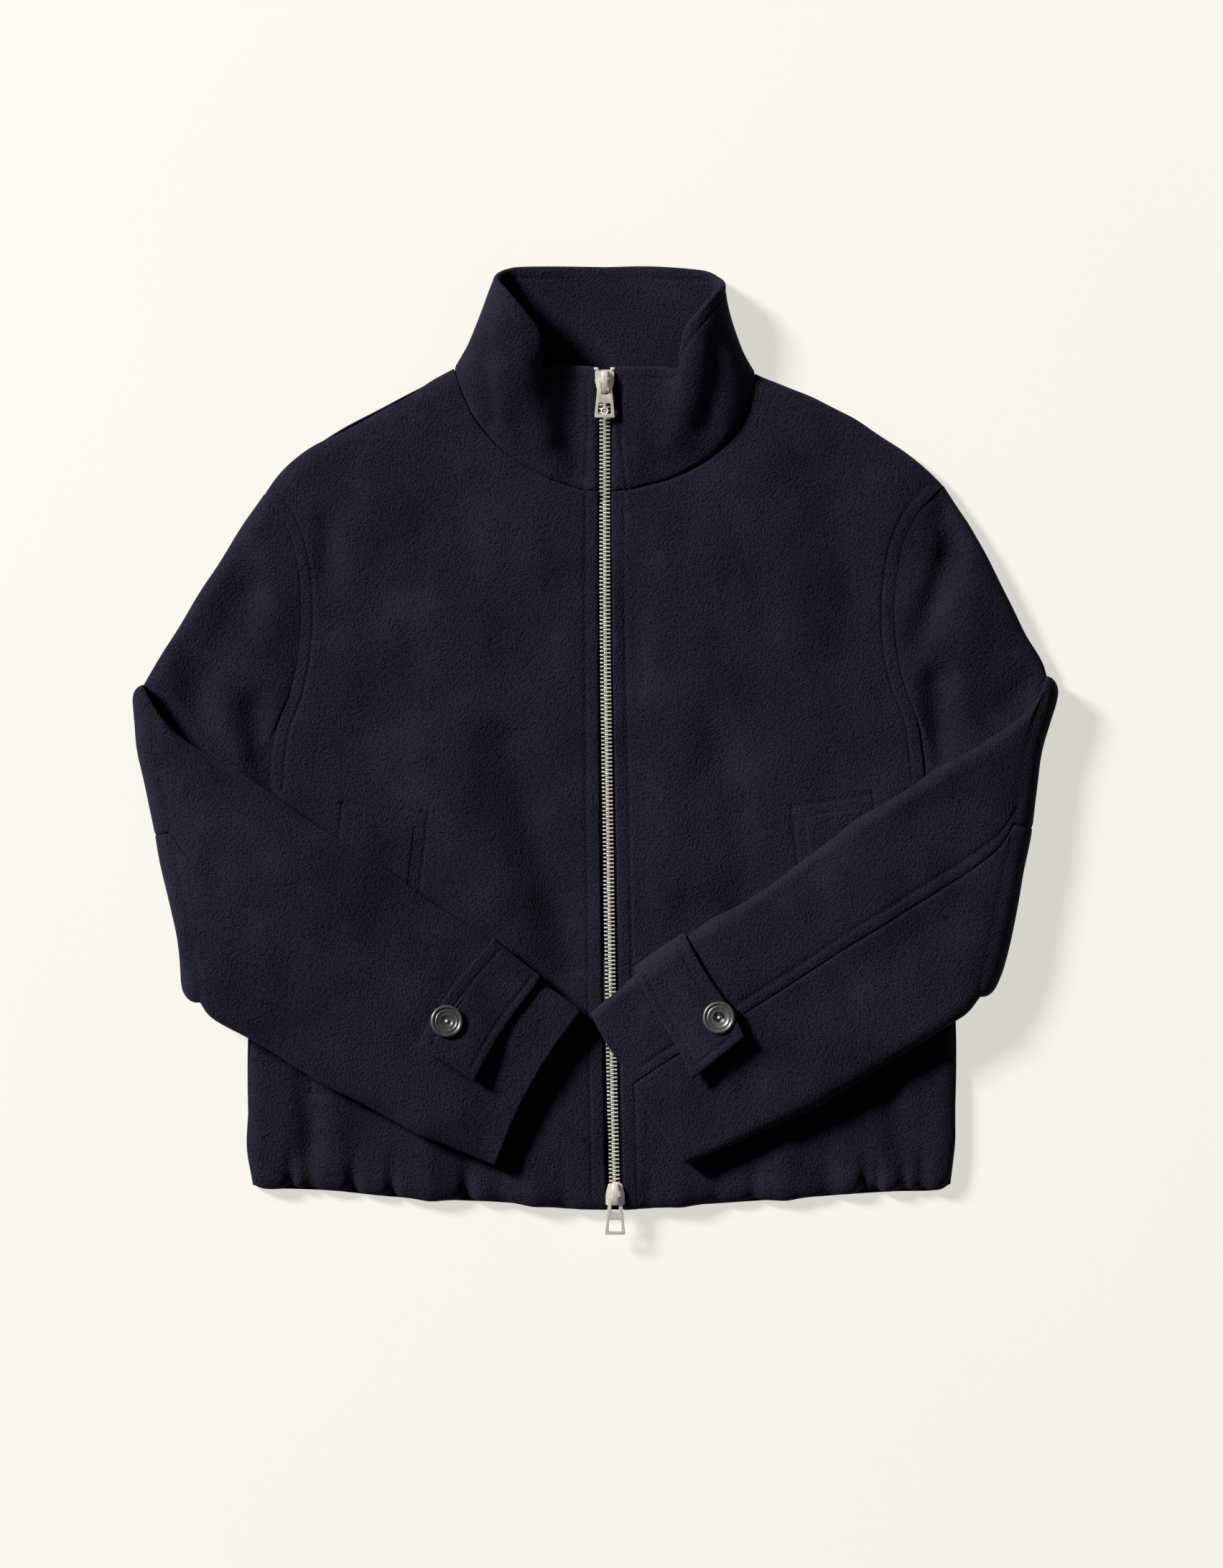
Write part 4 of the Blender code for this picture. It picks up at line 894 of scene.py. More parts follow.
# %% [markdown]
# The fronts come first. Each is sewn to the collar, the back and the sleeve, and its inner edge is
# turned in beside the zip. A line of topstitching holds that edge, another follows the armhole, and
# two more frame each pocket. The shoulder seam of the left front shows just inside the outline,
# because the seam is rolled forwards there.

# %% Fronts
HEM_UNDER = (6.5, 10.5)  # how far the turned-up hem rolls down, and over what width
PUCKERS = {  # where the drawn-in hem pinches: x, depth and half width
    "right": ((-233.5, 2.6, 4.5), (-219, 2.0, 6.5), (-186, 2.4, 5), (-156, 2.6, 4.5), (-127, -1.6, 11),
              (-99, 2.8, 5), (-74, 1.2, 8), (-48, -1.0, 9), (-24, 1.0, 6)),
    "left": ((40, 1.0, 6), (66, -1.0, 9), (92, 1.4, 7), (121, 1.6, 6), (146, -1.4, 10), (178, 1.4, 7),
             (206, 3.0, 4.5), (215, 2.2, 4), (236, 2.4, 5), (250, 1.8, 6)),
}
ZIP_STITCH = ((-352.0, 10.5), (-50.0, 10.2), (199.0, 9.4), (293.5, 9.4))
ARM_STITCH = 9.6
POCKET_BORDER = 9.6
SHOULDER_IN = 4.6


def fine_section():
    """The stations across a sleeve in the render."""
    ends = END_SHARE * (1 - np.cos(np.radians([0, 18, 34, 48, 60, 71, 81])))
    middle = np.concatenate([np.linspace(END_SHARE, SEAM_SHARE, 25),
                             np.linspace(SEAM_SHARE, 1 - END_SHARE, 29)[1:]])
    return np.concatenate([ends, middle, 1 - ends[::-1]])


FINE_SECTION = fine_section()


def front_form(side):
    routes = ROUTES[side]
    shares = spaced(routes["side"].length)
    armhole = 1 - FINE_SECTION[-2::-1]
    outside = np.vstack([routes["side"].at(shares), routes["armhole"].at(armhole)])
    v = np.concatenate([shares * routes["side"].length,
                        routes["side"].length + armhole * routes["armhole"].length])
    v /= v[-1]
    neck = spaced(routes["neck"].length, last=False)
    shoulder = spaced(routes["shoulder"].length, first=False)[1:]
    top = np.vstack([routes["neck"].at(neck), routes["shoulder"].at(shoulder)])
    u = np.concatenate([neck * routes["neck"].length,
                        routes["neck"].length + shoulder * routes["shoulder"].length])
    u /= u[-1]
    hem = routes["hem"].at(u)
    inside = zip_edge(side, hem[0, 1] + (top[0, 1] - hem[0, 1]) * v)
    hem[0], top[0] = inside[0], inside[-1]
    plan = patch(hem, top, inside, outside, u, v, SIDE_FADE)
    form, normal = front_skin(plan.reshape(-1, 2), side)
    form = form.reshape(*plan.shape[:2], 3)
    above_hem = edge_distances(form)["first_row"]
    for x, deep, wide in PUCKERS[side]:
        pinch = np.exp(-(((form[..., 0] - x) / wide) ** 2)) * np.exp(-((above_hem / (5 * wide)) ** 2))
        form[..., 1] += 1.1 * deep * pinch * np.exp(-above_hem / 12)
        form[..., 2] -= 1.9 * deep * pinch
    form[..., 2] -= roll(above_hem, *HEM_UNDER)
    return form, normal.reshape(form.shape)


FRONT_CREASES = {
    "right": ((((-66, 5), (-48, -60), (-20, -165)), 5.5, 17),
              (((-108, -20), (-84, -90), (-56, -150)), -2.2, 22),
              (((-203, 176), (-204, 130)), 2.6, 11), (((-150, 150), (-165, 60), (-150, -40)), 1.6, 30),
              (((-225, -235), (-217, -300)), 2.5, 9), (((-196, -250), (-190, -310)), -1.5, 14)),
    "left": ((((97, 5), (108, -60), (122, -135)), 3.4, 16), (((48, 150), (56, 60), (60, -100)), -2.4, 22),
             (((186, 190), (192, 120)), 2.6, 12), (((150, 170), (160, 60), (150, -20)), -1.5, 24),
             (((30, 150), (30, 20), (34, -120)), 1.2, 12), (((225, -265), (232, -320)), 2.4, 9),
             (((244, -255), (248, -310)), -1.2, 10), (((160, -300), (170, -330)), 2.0, 14)),
}


def border(corners, out):
    """The corners of a four-sided frame moved outwards."""
    corners = np.asarray(corners, float)
    middle = corners.mean(axis=0)
    across = (corners[1] - corners[0]) / np.linalg.norm(corners[1] - corners[0])
    down = (corners[3] - corners[0]) / np.linalg.norm(corners[3] - corners[0])
    return np.array([c + out * (np.sign((c - middle) @ across) * across
                                + np.sign((c - middle) @ down) * down)
                     for c in corners])


def straight(a, b, step=1.5):
    count = max(2, round(np.linalg.norm(np.subtract(b, a)) / step) + 1)
    return np.linspace(a, b, count)


def front_lines(side):
    """Lines on a front as seen from above: those that are sewn, and those that are only pressed."""
    routes, sign = ROUTES[side], (1 if side == "left" else -1)
    y = np.arange(-345.0, 197.0, 1.5)
    offset = np.interp(y, *zip(*ZIP_STITCH))
    beside_zip = zip_edge(side, y) + np.column_stack([sign * offset, 0 * y])
    arm = routes["armhole"].beside(np.linspace(0.03, 0.97, 140), -sign * -ARM_STITCH)
    frame_corners = border(OUTLINES[side]["pocket"], POCKET_BORDER)
    pocket = [straight(frame_corners[k], frame_corners[(k + 1) % 4]) for k in range(4)]
    pressed = []
    if side == "left":
        pressed.append(routes["shoulder"].beside(np.linspace(0.02, 0.97, 120), -SHOULDER_IN))
    return [beside_zip, arm, *pocket], pressed


panels = {}
for side in ("right", "left"):
    name = "front_" + side
    form, normal = front_form(side)
    panel, facts = shell("cloth_" + name, form, normal, THIN_WALL, free=("first_column",),
                         seams=("last_column", "last_row"), creases=FRONT_CREASES[side])
    tree = tree_of(panel)
    sewn, pressed = front_lines(side)
    laid = [drop(tree, line) for line in sewn]
    quiet = [drop(tree, line)[0] for line in pressed]
    press(panel, [(points, *CHANNEL) for points, _ in laid] + [(points, 1.0, 1.5) for points in quiet])
    belongs(panel, "wool", name)
    sew("stitches_" + name, laid)
    panels[name] = panel

# %% [markdown]
# The back lies flat on the floor and turns up a little at the side and shoulder seams. Only its
# inside shows, through the collar, so its grid is coarser than the fronts'.

# %% Back
BACK_STEPS = 62


def back_form():
    halves = []
    for side in ("right", "left"):
        routes = ROUTES[side]
        shares = spaced(ROUTES["right"]["side"].length)[::2]
        shares[-1] = 1
        armhole = 1 - FINE_SECTION[-2::-1]
        outside = np.vstack([routes["side"].at(shares), routes["armhole"].at(armhole)])
        v = np.concatenate([shares * routes["side"].length,
                            routes["side"].length + armhole * routes["armhole"].length])
        v /= v[-1]
        shoulder = spaced(routes["shoulder"].length, first=False)[::-1]
        neck = np.linspace(0, 1, BACK_STEPS)[1:]
        top = np.vstack([routes["shoulder"].at(shoulder), routes["back_neck"].at(neck)])
        whole = routes["shoulder"].length + routes["back_neck"].length
        u = np.concatenate([(1 - shoulder) * routes["shoulder"].length,
                            routes["shoulder"].length + neck * routes["back_neck"].length]) / whole
        start, end = np.array([11.0, -352.0]), top[-1]
        centre = start + (end - start) * v[:, None]
        hem = routes["hem"].at(1 - u)
        hem[-1] = centre[0]
        plan = patch(hem, top, outside, centre, u, v, SIDE_FADE)
        form, normal = back_skin(plan.reshape(-1, 2), side)
        halves.append((form.reshape(*plan.shape[:2], 3), normal.reshape(*plan.shape[:2], 3)))
    return [np.concatenate([a, b[:, -2::-1]], axis=1) for a, b in zip(*halves)]


form, normal = back_form()
panel, facts = shell("cloth_back", form, normal, THIN_WALL, seams=("last_row",), waves=0.0)
belongs(panel, "wool", "back")

# %% [markdown]
# Each sleeve is a flattened tube that runs from the armhole to the elbow, folds back over itself
# and crosses the front. Its larger panel carries the whole inner side and the upper half of what
# shows; the smaller one carries the lower half. The left sleeve's back seam is topstitched, and on
# the right sleeve it is a plain pressed seam.

# %% Sleeves in cloth
UPPER_STATIONS = spaced(190.0, last=False)
FORE_STATIONS = spaced(415.0, first=False)
TURN_STATIONS = np.arange(12, 169, 12)
BACK_SEAM_STITCH = 0.058  # shares of a section above the back seam
UPPER_CREASES = {
    "right": ((((-268, 118), (-290, 78), (-306, 40)), 5.0, 17), (((-262, 30), (-254, -25)), 5.5, 12),
              (((-250, 110), (-262, 60)), -1.8, 12), (((-286, 30), (-270, 0)), -1.5, 9)),
    "left": ((((264, 180), (270, 150), (250, 88)), 4.0, 11), (((262, 52), (262, -12)), 5.0, 12),
             (((330, 52), (304, 24)), 3.5, 12), (((290, 120), (284, 50)), -1.8, 13)),
}
FORE_CREASES = {
    "right": ((((-268, -50), (-238, -72), (-200, -96)), 1.6, 16), (((-215, -118), (-160, -158)), 1.2, 22),
              (((-300, -90), (-292, -150)), -1.4, 16), (((-110, -180), (-128, -215)), 1.8, 12)),
    "left": ((((262, -40), (224, -64)), 1.5, 16), (((282, -110), (240, -150), (180, -190)), 2.0, 22),
             (((150, -120), (120, -140)), -1.2, 14), (((150, -232), (118, -250)), 1.6, 14)),
}


def sleeve_rows(sleeve, shares, layer):
    bends = [sleeve.turn(math.radians(a), shares, layer) for a in TURN_STATIONS]
    parts = [sleeve.skin("upper", UPPER_STATIONS, shares, layer), *bends,
             sleeve.skin("fore", FORE_STATIONS, shares, layer)]
    points, normal = (np.concatenate(column) for column in zip(*parts))
    count = len(UPPER_STATIONS)
    if layer > 0:
        depth = relief(points[:count].reshape(-1, 3)[:, :2], "top_sleeve_" + sleeve.side).reshape(count, -1)
        points[:count, :, 2] -= depth * normal[:count, :, 2] ** 2
    points[:count] = dented(points[:count], normal[:count], UPPER_CREASES[sleeve.side])
    points[count:] = dented(points[count:], normal[count:], FORE_CREASES[sleeve.side])
    return points, normal


sleeves = {}
for side in ("right", "left"):
    sleeve = sleeves[side] = Sleeve(side)
    half_step = 0.0001
    before = FINE_SECTION[FINE_SECTION <= SEAM_SHARE].copy()
    after = FINE_SECTION[FINE_SECTION >= SEAM_SHARE].copy()
    before[-1] -= half_step
    after[0] += half_step
    back, face = sleeve_rows(sleeve, before, -1), sleeve_rows(sleeve, FINE_SECTION, 1)
    top = [np.concatenate([b[:, :0:-1], f], axis=1) for b, f in zip(back, face)]
    under = sleeve_rows(sleeve, after, -1)
    under = tucked(*under, ("first_column", "last_column"))
    for kind, (form, normal) in (("top_sleeve_", top), ("under_sleeve_", under)):
        form, normal = tucked(form, normal, ("first_row",))
        name = kind + side
        panel, facts = shell("cloth_" + name, form, normal, THIN_WALL,
                             seams=("first_row", "first_column", "last_column"),
                             free=("last_row",))
        lines = []
        if name == "top_sleeve_left":
            points, normals = sleeve.skin("fore", FORE_STATIONS[:-8],
                                          np.array([SEAM_SHARE - BACK_SEAM_STITCH]), -1)
            points = dented(points, normals, FORE_CREASES[side])
            seam_line = points[:, 0] + (ripple(points)[..., None] * normals)[:, 0]
            sew("stitches_" + name, [(seam_line, normals[:, 0])])
            lines.append((seam_line, *CHANNEL))
        press(panel, lines)
        belongs(panel, "wool", name)
        panels[name] = panel

# %% [markdown]
# The collar is one doubled piece that stands at the sides, leans forward at the front, and lies back
# behind the neck. Both faces show, so both are pressed along the topstitching, which runs up beside
# the zip, turns the corner, and follows the top edge all the way round.

# %% Collar
COLLAR_THICK = 4.8  # two layers of wool and the turned-in edges between them
COLLAR_ROWS_UP = np.concatenate([np.linspace(0, 0.93, 27), [0.955, 0.975, 0.99, 1.0]])
TOP_STITCH = 10.5
COLLAR_RIM = (2.1, 3.4)
COLLAR_CREASES = (
    (((-85, 303), (-84, 275), (-80, 252)), 3.0, 7), (((-74, 322), (-72, 300), (-66, 262)), -2.4, 9),
    (((-56, 300), (-52, 268), (-40, 240)), -3.2, 11), (((-17, 292), (-17, 250), (-13, 214)), 6.0, 13),
    (((94, 312), (92, 280), (86, 250)), 3.6, 9), (((74, 300), (70, 270), (60, 240)), -2.6, 11),
    (((34, 290), (33, 250), (28, 215)), -1.6, 12),
)


def collar_form():
    halves = []
    for side in ("right", "left"):
        routes = ROUTES[side]
        curve = table_curve([(share, *middle, *top) for share, middle, top in COLLAR_ROWS[side]])
        neck, nape = spaced(routes["neck"].length, last=False), np.linspace(0, 1, 50)[1:] ** 1.3
        step = SIDE_STEP if side == "left" else -SIDE_STEP
        front = front_skin(routes["neck"].beside(neck, step), side)[0]
        front[0, 0] = zip_edge(side, front[:1, 1])[0, 0]
        front[-1, 2] = SEAM_HEIGHT
        back = back_skin(routes["back_neck"].beside(nape, -step), side)[0]
        seam = np.vstack([front, back])
        middle, top = np.split(curve(np.concatenate([neck, 1 + nape])), 2, axis=1)
        v = COLLAR_ROWS_UP[:, None, None]
        halves.append(seam * (1 - v) * (1 - 2 * v) + middle * 4 * v * (1 - v) + top * v * (2 * v - 1))
    outer = np.concatenate([halves[0], halves[1][:, -2::-1]], axis=1)
    outer[..., 2] = np.maximum(outer[..., 2], 0)
    normal = np.cross(np.gradient(outer, axis=0), np.gradient(outer, axis=1))
    for _ in range(3):
        normal[:, 1:-1] = (normal[:, :-2] + 2 * normal[:, 1:-1] + normal[:, 2:]) / 4
    normal /= np.linalg.norm(normal, axis=2)[..., None]
    return outer, normal if normal[3, 0, 2] > 0 else -normal


form, normal = collar_form()
panel, facts = shell("cloth_collar", form, normal, COLLAR_THICK, seams=("first_row",), waves=0.4,
                     free=("last_row", "first_column", "last_column"), creases=COLLAR_CREASES,
                     roll_in=COLLAR_RIM)
far = edge_distances(facts["outer"])
collar_sewn = []
END_STITCH = 9.4  # from the collar's ends beside the zip
for skin, way in (("outer", 1), ("inner", -1)):
    grid = facts[skin]
    row = int(np.abs(far["last_row"] - TOP_STITCH).mean(axis=1).argmin())
    first = int(np.abs(far["first_column"][row] - END_STITCH).argmin())
    last = int(np.abs(far["last_column"][row] - END_STITCH).argmin())
    for index in ((slice(None, row + 1), first), (row, slice(first, last + 1)),
                  (slice(None, row + 1), last)):
        collar_sewn.append((grid[index], way * normal[index]))
press(panel, [(points, *CHANNEL) for points, _ in collar_sewn])
sew("stitches_collar", collar_sewn)
belongs(panel, "wool", "collar")

# %% [markdown]
# A pocket's welt is a stiffened strip, let into the front at a slant. It stands a little proud, with
# the pocket's mouth along its edge.

# %% Pocket welts
WELT_PROUD = 0.7

for side in ("right", "left"):
    corners = np.array(OUTLINES[side]["pocket"], float)
    u, v = spaced(46.0)[None, :, None], spaced(205.0)[:, None, None]
    plan = (1 - v) * ((1 - u) * corners[0] + u * corners[1]) + v * ((1 - u) * corners[3] + u * corners[2])
    form, normal = front_skin(plan.reshape(-1, 2), side, WELT_PROUD)
    form, normal = form.reshape(*plan.shape[:2], 3), normal.reshape(*plan.shape[:2], 3)
    name = "pocket_welt_" + side
    panel, facts = shell("cloth_" + name, form, normal, WELT_WALL,
                         free=("first_row", "last_row", "first_column", "last_column"),
                         creases=FRONT_CREASES[side])
    belongs(panel, "wool", name)

# %% [markdown]
# Each cuff has a strap that is caught in the seam at the sleeve's edge, crosses the cuff and
# buttons down. It is doubled wool, so its free end stands off the sleeve and throws a shadow. A
# topstitch follows its edges 8 mm in.

# %% Cuff tabs
TAB_LIFT = 7.0
TAB_STITCH = 8.0

def tab_faces(sleeve, corners, rows, columns):
    """The tab follows the sleeve round its edge, crosses it, and stands off at its free end."""
    near, far = corners[:2], corners[2:][::-1]
    near = np.array([sleeve.locate(p) for p in near])
    far = np.array([sleeve.locate(p) for p in far])
    near[:, 1] = 0
    faces = []
    for share in columns:
        start = near[0] + (near[1] - near[0]) * share
        end = far[0] + (far[1] - far[0]) * share
        ends = np.array([0, 0.134, 0.5, 1.0]) * END_SHARE
        across = np.concatenate([ends, END_SHARE + (end[1] - END_SHARE) * rows])
        along = start[0] + (end[0] - start[0]) * across / end[1]
        column = []
        for a, c in zip(along, across):
            points, normal = sleeve.skin("fore", np.array([a]), np.array([c]), -1)
            free = np.clip((c / end[1] - 0.35) / 0.65, 0, 1)
            lift = TAB_LIFT * free**2 * (1.6 - 0.6 * free)
            column.append((points[0, 0] + (0, 0, lift), normal[0, 0]))
        faces.append(column)
    points = np.array([[p for p, _ in column] for column in faces])
    normal = np.array([[n for _, n in column] for column in faces])
    return points + TAB_CLEAR * normal, points + (TAB_CLEAR + TAB_WALL) * normal


for side in ("right", "left"):
    name = "cuff_tab_" + side
    inner, outer = tab_faces(sleeves[side], OUTLINES[side]["tab"], np.linspace(0.03, 1, 34), spaced(47.0))
    normal = outer - inner
    normal /= np.linalg.norm(normal, axis=2)[..., None]
    panel, facts = shell("cloth_" + name, outer, normal, TAB_WALL,
                         free=("first_row", "last_row", "last_column"))
    far = edge_distances(facts["outer"])
    near, other = (int(np.abs(far[edge][:, 0] - TAB_STITCH).argmin()) for edge in ("first_row", "last_row"))
    end = int(np.abs(far["last_column"][near] - TAB_STITCH).argmin())
    lines = [(facts["outer"][index], normal[index]) for index in
             ((near, slice(2, end + 1)), (slice(near, other + 1), end), (other, slice(2, end + 1)))]
    press(panel, [(points, *CHANNEL) for points, _ in lines])
    sew("stitches_" + name, lines)
    belongs(panel, "wool", name)
    panels[name] = panel

# %% [markdown]
# The button is turned from dark horn: a rounded rim, a groove, a low ring, and a sunk middle with the thread's
# knot. It starts as a circle, and each edge of the profile is an extrusion that is then scaled and lowered, as
# on a lathe. Its place and tilt are those of the imported button. The knot has the bright nickel finish
# instead of the thread's colour, which is a painted highlight in the button's middle.

# %% Buttons
BUTTON_PROFILE = (  # radius, height over the button's seat
    (12.1, 1.3), (12.6, 2.6), (12.45, 3.5), (11.9, 4.25), (11.1, 4.6), (10.3, 4.4), (9.7, 3.8), (9.3, 3.35),
    (8.9, 3.45), (8.5, 3.8), (8.1, 3.9), (7.6, 3.65), (7.0, 3.25), (5.6, 3.05), (4.9, 3.2), (4.5, 3.1),
    (4.2, 2.5), (3.4, 2.2), (1.6, 2.15),
)


def seat_of(node_name):
    """The middle of a packed button's underside, and its three axes, from its own points."""
    points = coordinates(frame["nodes"][node_name].data) / MM
    middle = (points.min(axis=0) + points.max(axis=0)) / 2
    axes = np.linalg.svd(points - points.mean(axis=0), full_matrices=False)[2]
    out = axes[2] if axes[2][2] > 0 else -axes[2]
    low = ((points - middle) @ out).min()
    across = np.cross([0, 1, 0], out)
    across /= np.linalg.norm(across)
    return middle + low * out, np.stack([across, np.cross(out, across), out])


FOOT_SHARE = 0.86  # of the first radius, at the seat


def turned(name, profile, sides, material):
    """Turns a profile into a closed round form that stands on z = 0."""
    bpy.ops.object.select_all(action="DESELECT")
    bpy.ops.mesh.primitive_circle_add(vertices=sides, radius=profile[0][0] * FOOT_SHARE * MM, fill_type="NGON")
    piece = bpy.context.object
    piece.name = name
    bpy.ops.object.mode_set(mode="EDIT")
    radius, height = profile[0][0] * FOOT_SHARE, 0.0
    for next_radius, next_height in profile:
        bpy.ops.mesh.extrude_region_move(
            TRANSFORM_OT_translate={"value": (0, 0, (next_height - height) * MM)})
        bpy.ops.transform.resize(value=(next_radius / radius,) * 2 + (1,),
                                 center_override=(0, 0, next_height * MM))
        radius, height = next_radius, next_height
    bpy.ops.mesh.select_all(action="SELECT")
    bpy.ops.mesh.normals_make_consistent(inside=False)
    bpy.ops.object.mode_set(mode="OBJECT")
    piece.data.materials.append(material)
    bpy.ops.object.shade_smooth()
    return piece


def settle(piece, origin, axes):
    """Moves a piece's own points to their place, so that its object stays at the frame's origin."""
    points = coordinates(piece.data) / MM
    piece.data.vertices.foreach_set("co", ((origin + points @ axes) * MM).ravel())
    piece.data.update()
    piece.location = (0, 0, 0)


for side in ("right", "left"):
    origin, axes = seat_of("button_" + side)
    button = turned("horn_button_" + side, BUTTON_PROFILE, 72, horn)
    settle(button, origin, axes)
    belongs(button, "horn", "button_" + side)
    # Painted highlight: the thread's knot gets the bright nickel finish, so a light dot shows in the button's
    # middle.
    highlight_knot = turned("button_highlight_knot_" + side, ((0.9, 0.2), (1.25, 0.7), (0.95, 1.2), (0.4, 1.45)), 20, nickel)
    settle(highlight_knot, origin + 2.0 * axes[2], axes)
    belongs(highlight_knot, "nickel")

# %% [markdown]
# A buttonhole in a coat is a slit with a raised rim of close thread. One long ring of thread, part
# of it under the button, is a torus that is stretched and laid on the tab.

# %% Buttonholes
HOLE_LONG, HOLE_WIDE, RIM = 26.0, 3.0, 0.75
HOLE_WAY = {"right": (0.62, 0.78), "left": (-0.79, 0.61)}

for side in ("right", "left"):
    origin, axes = seat_of("button_" + side)
    way = np.array([*HOLE_WAY[side], 0.0])
    way -= (way @ axes[2]) * axes[2]
    way /= np.linalg.norm(way)
    bpy.ops.object.select_all(action="DESELECT")
    bpy.ops.mesh.primitive_torus_add(major_radius=HOLE_WIDE / 2 * MM, minor_radius=RIM * MM,
                                     major_segments=40, minor_segments=10)
    rim = bpy.context.object
    rim.name = "buttonhole_" + side
    points = coordinates(rim.data) / MM
    points[:, 0] += np.sign(points[:, 0]) * (HOLE_LONG - HOLE_WIDE) / 2
    rim.data.vertices.foreach_set("co", (points * MM).ravel())
    settle(rim, origin + way * HOLE_LONG * 0.42 - 0.1 * axes[2],
           np.stack([way, np.cross(axes[2], way), axes[2]]))
    rim.data.materials.append(thread)
    bpy.ops.object.shade_smooth()
    belongs(rim, "wool")
    points = origin + way * np.linspace(-4, HOLE_LONG * 0.9, 30)[:, None]
    press(panels["cuff_tab_" + side], [(points, 0.7, 1.5)])

# %% [markdown]
# The chain is two rows of metal teeth that lock into each other, one row to each tape, a tooth every
# 3 mm on each side and half a pitch apart. One tooth is a box that narrows to its head, with all its
# edges bevelled. It is modelled once and copied along the zip's own curve.

# %% Zip teeth
TOOTH_PITCH, TOOTH_REACH, TOOTH_PAST, TOOTH_WIDE, TOOTH_THICK = 3.0, 4.15, 1.2, 1.45, 2.7

bpy.ops.object.select_all(action="DESELECT")
bpy.ops.mesh.primitive_cube_add(size=1)
tooth = bpy.context.object
points = coordinates(tooth.data)
points[:, 0] = np.where(points[:, 0] < 0, -TOOTH_PAST, TOOTH_REACH)
points[:, 1] *= np.where(points[:, 0] < 0, TOOTH_WIDE * 0.7, TOOTH_WIDE)
points[:, 2] *= np.where(points[:, 0] < 0, TOOTH_THICK * 0.8, TOOTH_THICK)
tooth.data.vertices.foreach_set("co", points.ravel())
bevel = tooth.modifiers.new("round", "BEVEL")
bevel.width, bevel.segments = 0.42, 2
bpy.ops.object.modifier_apply(modifier="round")
tooth_points = coordinates(tooth.data)
tooth_faces = [list(p.vertices) for p in tooth.data.polygons]
bpy.data.objects.remove(tooth)


def along_zip(y):
    """The zip's middle at this place, and its axes: across, along and out of the cloth."""
    here = np.array([y, *zip_at(y)])
    after = np.array([y + 1, *zip_at(y + 1)])
    way = np.array([after[1] - here[1], 1.0, after[3] - here[3]])
    way /= np.linalg.norm(way)
    across = np.cross(way, [0, 0, 1])
    across /= np.linalg.norm(across)
    return np.array([here[1], y, here[3]]), np.stack([across, way, np.cross(across, way)])


chain_low, chain_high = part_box("zip_chain")
for side, sign in (("right", -1), ("left", 1)):
    places = []
    for y in np.arange(chain_low.y / MM + 1.5 + (0.5 * TOOTH_PITCH if sign > 0 else 0),
                       chain_high.y / MM - 1, TOOTH_PITCH * 0.995):
        origin, axes = along_zip(y)
        turn = np.diag([sign, sign, 1.0])
        places.append((origin - (CHAIN_TOP + TOOTH_THICK / 2) * axes[2], turn @ axes))
    count = len(tooth_points)
    data = bpy.data.meshes.new("zip_teeth_" + side)
    every = np.concatenate([origin + tooth_points @ axes for origin, axes in places])
    data.from_pydata((every * MM).tolist(), [],
                     [[i + count * k for i in f] for k in range(len(places)) for f in tooth_faces])
    data.materials.append(nickel)
    teeth = bpy.data.objects.new("zip_teeth_" + side, data)
    bpy.context.scene.collection.objects.link(teeth)
    bpy.ops.object.select_all(action="DESELECT")
    teeth.select_set(True)
    bpy.context.view_layer.objects.active = teeth
    bpy.ops.object.shade_smooth_by_angle(angle=math.radians(35))
    belongs(teeth, "nickel", *(["zip_chain"] if sign < 0 else []))
    print(f"zip_teeth_{side}: {len(places)} teeth")

# %% [markdown]
# The teeth are clamped to the corded edge of each tape, so a strip of tape shows between and below
# them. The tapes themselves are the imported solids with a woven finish.

# %% Tape
ys = np.arange(chain_low.y / MM - 2, chain_high.y / MM + 2, 3.0)
rows = [along_zip(y) for y in ys]
CORD_WALL = 0.9
CORD_ACROSS = (-5.2, -3.4, -1.2, 1.2, 3.4, 5.2)
CORD_HEIGHT = (-3.5, -3.0, -3.9, -3.9, -3.0, -3.5)
form = np.array([[o + x * a[0] + z * a[2] for x, z in zip(CORD_ACROSS, CORD_HEIGHT)]
                 for o, a in rows])
normal = np.array([[a[2]] * len(CORD_ACROSS) for _, a in rows])
core = grid_mesh("zip_cord", form, form - CORD_WALL * normal)
core.data.materials.append(tape_cloth)
belongs(core, "tape")
for side in ("right", "left"):
    tape = frame["nodes"]["zip_tape_" + side]
    tape.data.materials.clear()
    tape.data.materials.append(tape_cloth)

# %% [markdown]
# The sliders and pulls are castings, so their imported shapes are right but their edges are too
# sharp. A copy of each is merged into one skin, its flat faces are dissolved, and a bevel rounds
# every edge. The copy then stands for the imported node.

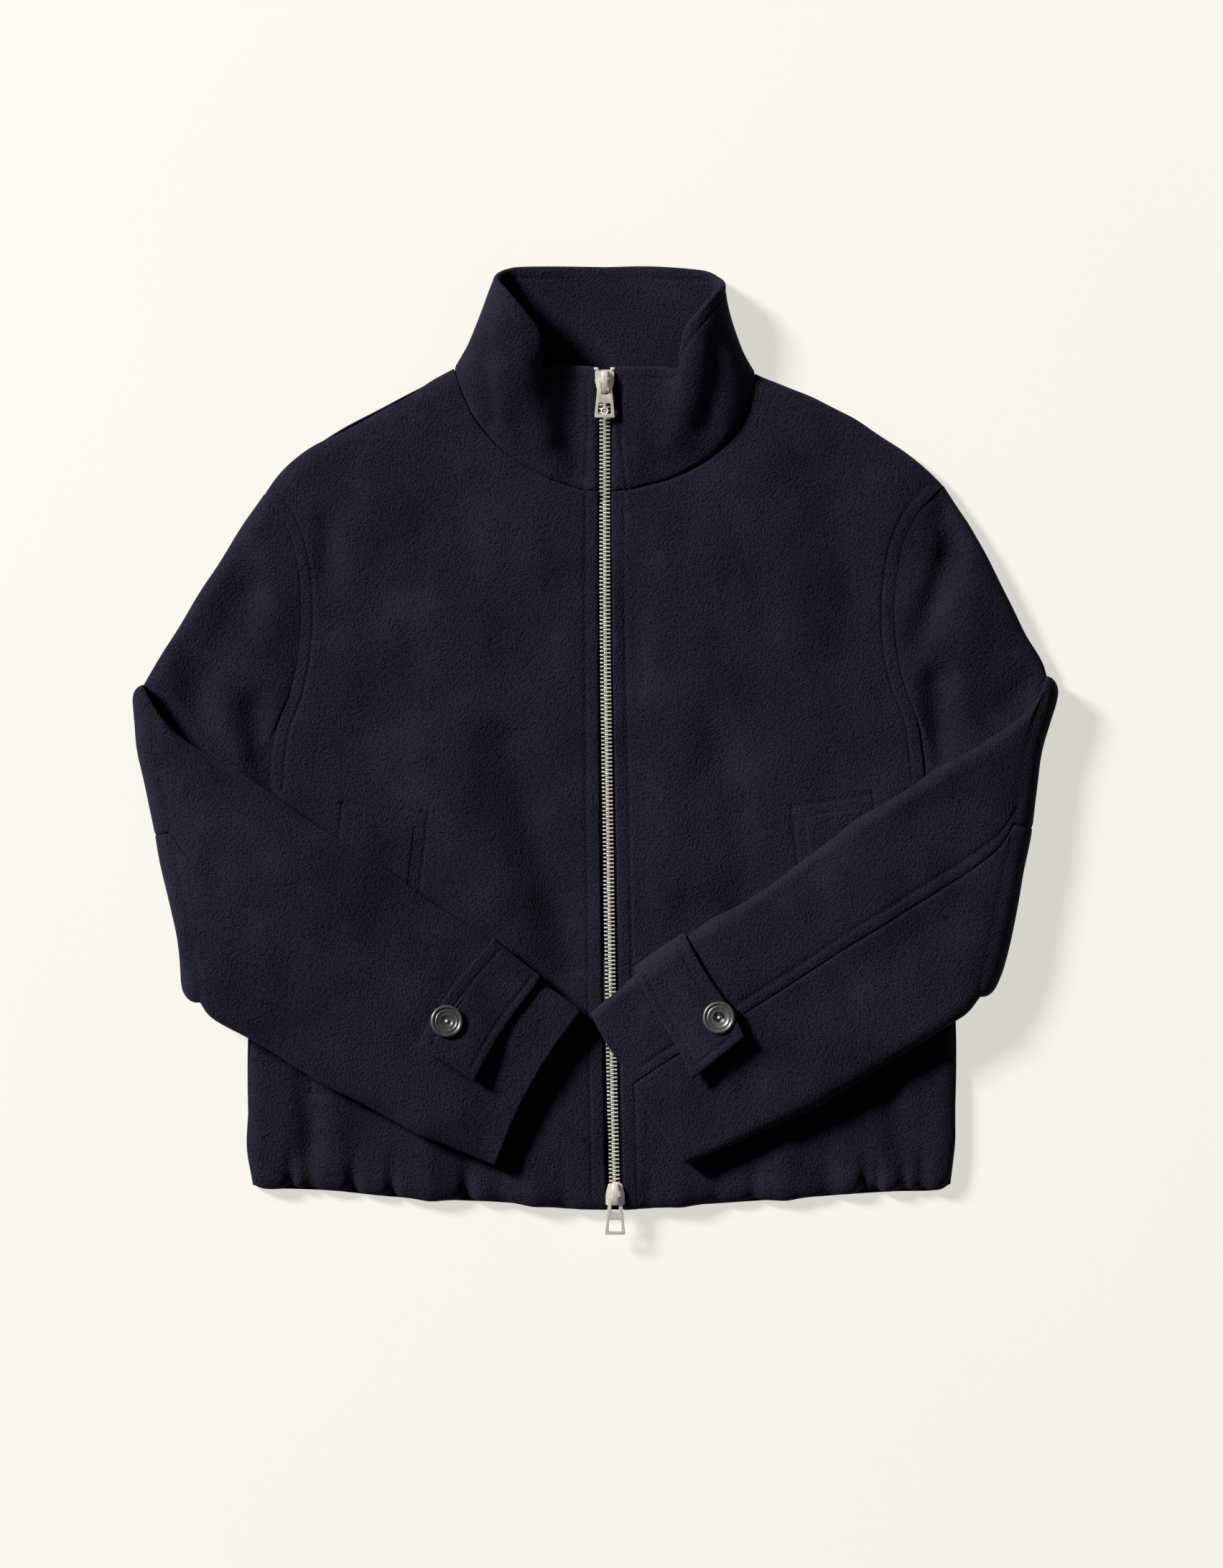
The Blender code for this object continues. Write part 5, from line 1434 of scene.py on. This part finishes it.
# %% Sliders and pulls
def cast(node_name, body, width, segments=3):
    """A copy of a packed casting with every edge rounded to this width."""
    source = frame["nodes"][node_name]
    piece = source.copy()
    piece.data = source.data.copy()
    piece.parent = None
    piece.name = "cast_" + node_name
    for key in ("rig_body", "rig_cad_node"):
        del piece[key]
    bpy.context.scene.collection.objects.link(piece)
    bpy.ops.object.select_all(action="DESELECT")
    piece.select_set(True)
    bpy.context.view_layer.objects.active = piece
    bpy.ops.object.mode_set(mode="EDIT")
    bpy.ops.mesh.select_all(action="SELECT")
    bpy.ops.mesh.remove_doubles(threshold=0.00002)
    bpy.ops.mesh.normals_make_consistent(inside=False)
    bpy.ops.mesh.dissolve_limited(angle_limit=math.radians(2))
    bpy.ops.object.mode_set(mode="OBJECT")
    bevel = piece.modifiers.new("round", "BEVEL")
    bevel.width, bevel.segments, bevel.limit_method = width * MM, segments, "ANGLE"
    bevel.angle_limit = math.radians(40)
    bpy.ops.object.modifier_apply(modifier="round")
    bpy.ops.object.shade_smooth_by_angle(angle=math.radians(40))
    piece.data.materials.clear()
    piece.data.materials.append(nickel)
    belongs(piece, "nickel", node_name, body=body)
    return piece


for end in ("top", "bottom"):
    cast("slider_" + end, "jacket", 0.45)
    cast("pull_" + end, "pull_" + end, 0.35)

# %% [markdown]
# The top pull's window holds a small ring.

# %% Ring in the top pull
RING_RADIUS, RING_WIRE = 0.0024, 0.0005  # metres
RING_UP, RING_IN = 0.0052, 0.0015  # from the pull's low end and its underside

pull_low, pull_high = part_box("pull_top")
window = Vector(((pull_low.x + pull_high.x) / 2, pull_low.y + RING_UP, pull_low.z + RING_IN))
bpy.ops.object.select_all(action="DESELECT")
bpy.ops.mesh.primitive_torus_add(major_radius=RING_RADIUS, minor_radius=RING_WIRE,
                                 major_segments=32, minor_segments=10)
ring = bpy.context.object
ring.name = "pull_ring"
settle(ring, np.array(window) / MM, np.eye(3))
ring.data.materials.append(nickel)
bpy.ops.object.shade_smooth()
belongs(ring, "nickel", body="pull_top")

# %% [markdown]
# Above the top slider each row of teeth ends in a small bent clip, which stops the slider. A clip is
# a bevelled bar across the tape's edge.

# %% Top stops
STOP_PLACE, STOP_ASIDE, STOP_DOWN = 292.2, 6.3, 1.4
STOP_SIZE = (3.4, 2.2, 2.6)

bpy.ops.object.select_all(action="DESELECT")
bpy.ops.mesh.primitive_cube_add(size=1)
clip = bpy.context.object
bevel = clip.modifiers.new("round", "BEVEL")
bevel.width, bevel.segments = 0.22, 3
bpy.ops.object.modifier_apply(modifier="round")
clip_points = coordinates(clip.data) * np.array(STOP_SIZE)
clip_faces = [list(p.vertices) for p in clip.data.polygons]
bpy.data.objects.remove(clip)
for side, sign in (("right", -1), ("left", 1)):
    origin, axes = along_zip(STOP_PLACE)
    data = bpy.data.meshes.new("top_stop_" + side)
    place = origin + sign * STOP_ASIDE * axes[0] - STOP_DOWN * axes[2]
    data.from_pydata(((place + clip_points @ axes) * MM).tolist(), [], clip_faces)
    data.materials.append(nickel)
    stop = bpy.data.objects.new("top_stop_" + side, data)
    bpy.context.scene.collection.objects.link(stop)
    data.shade_smooth()
    belongs(stop, "nickel")
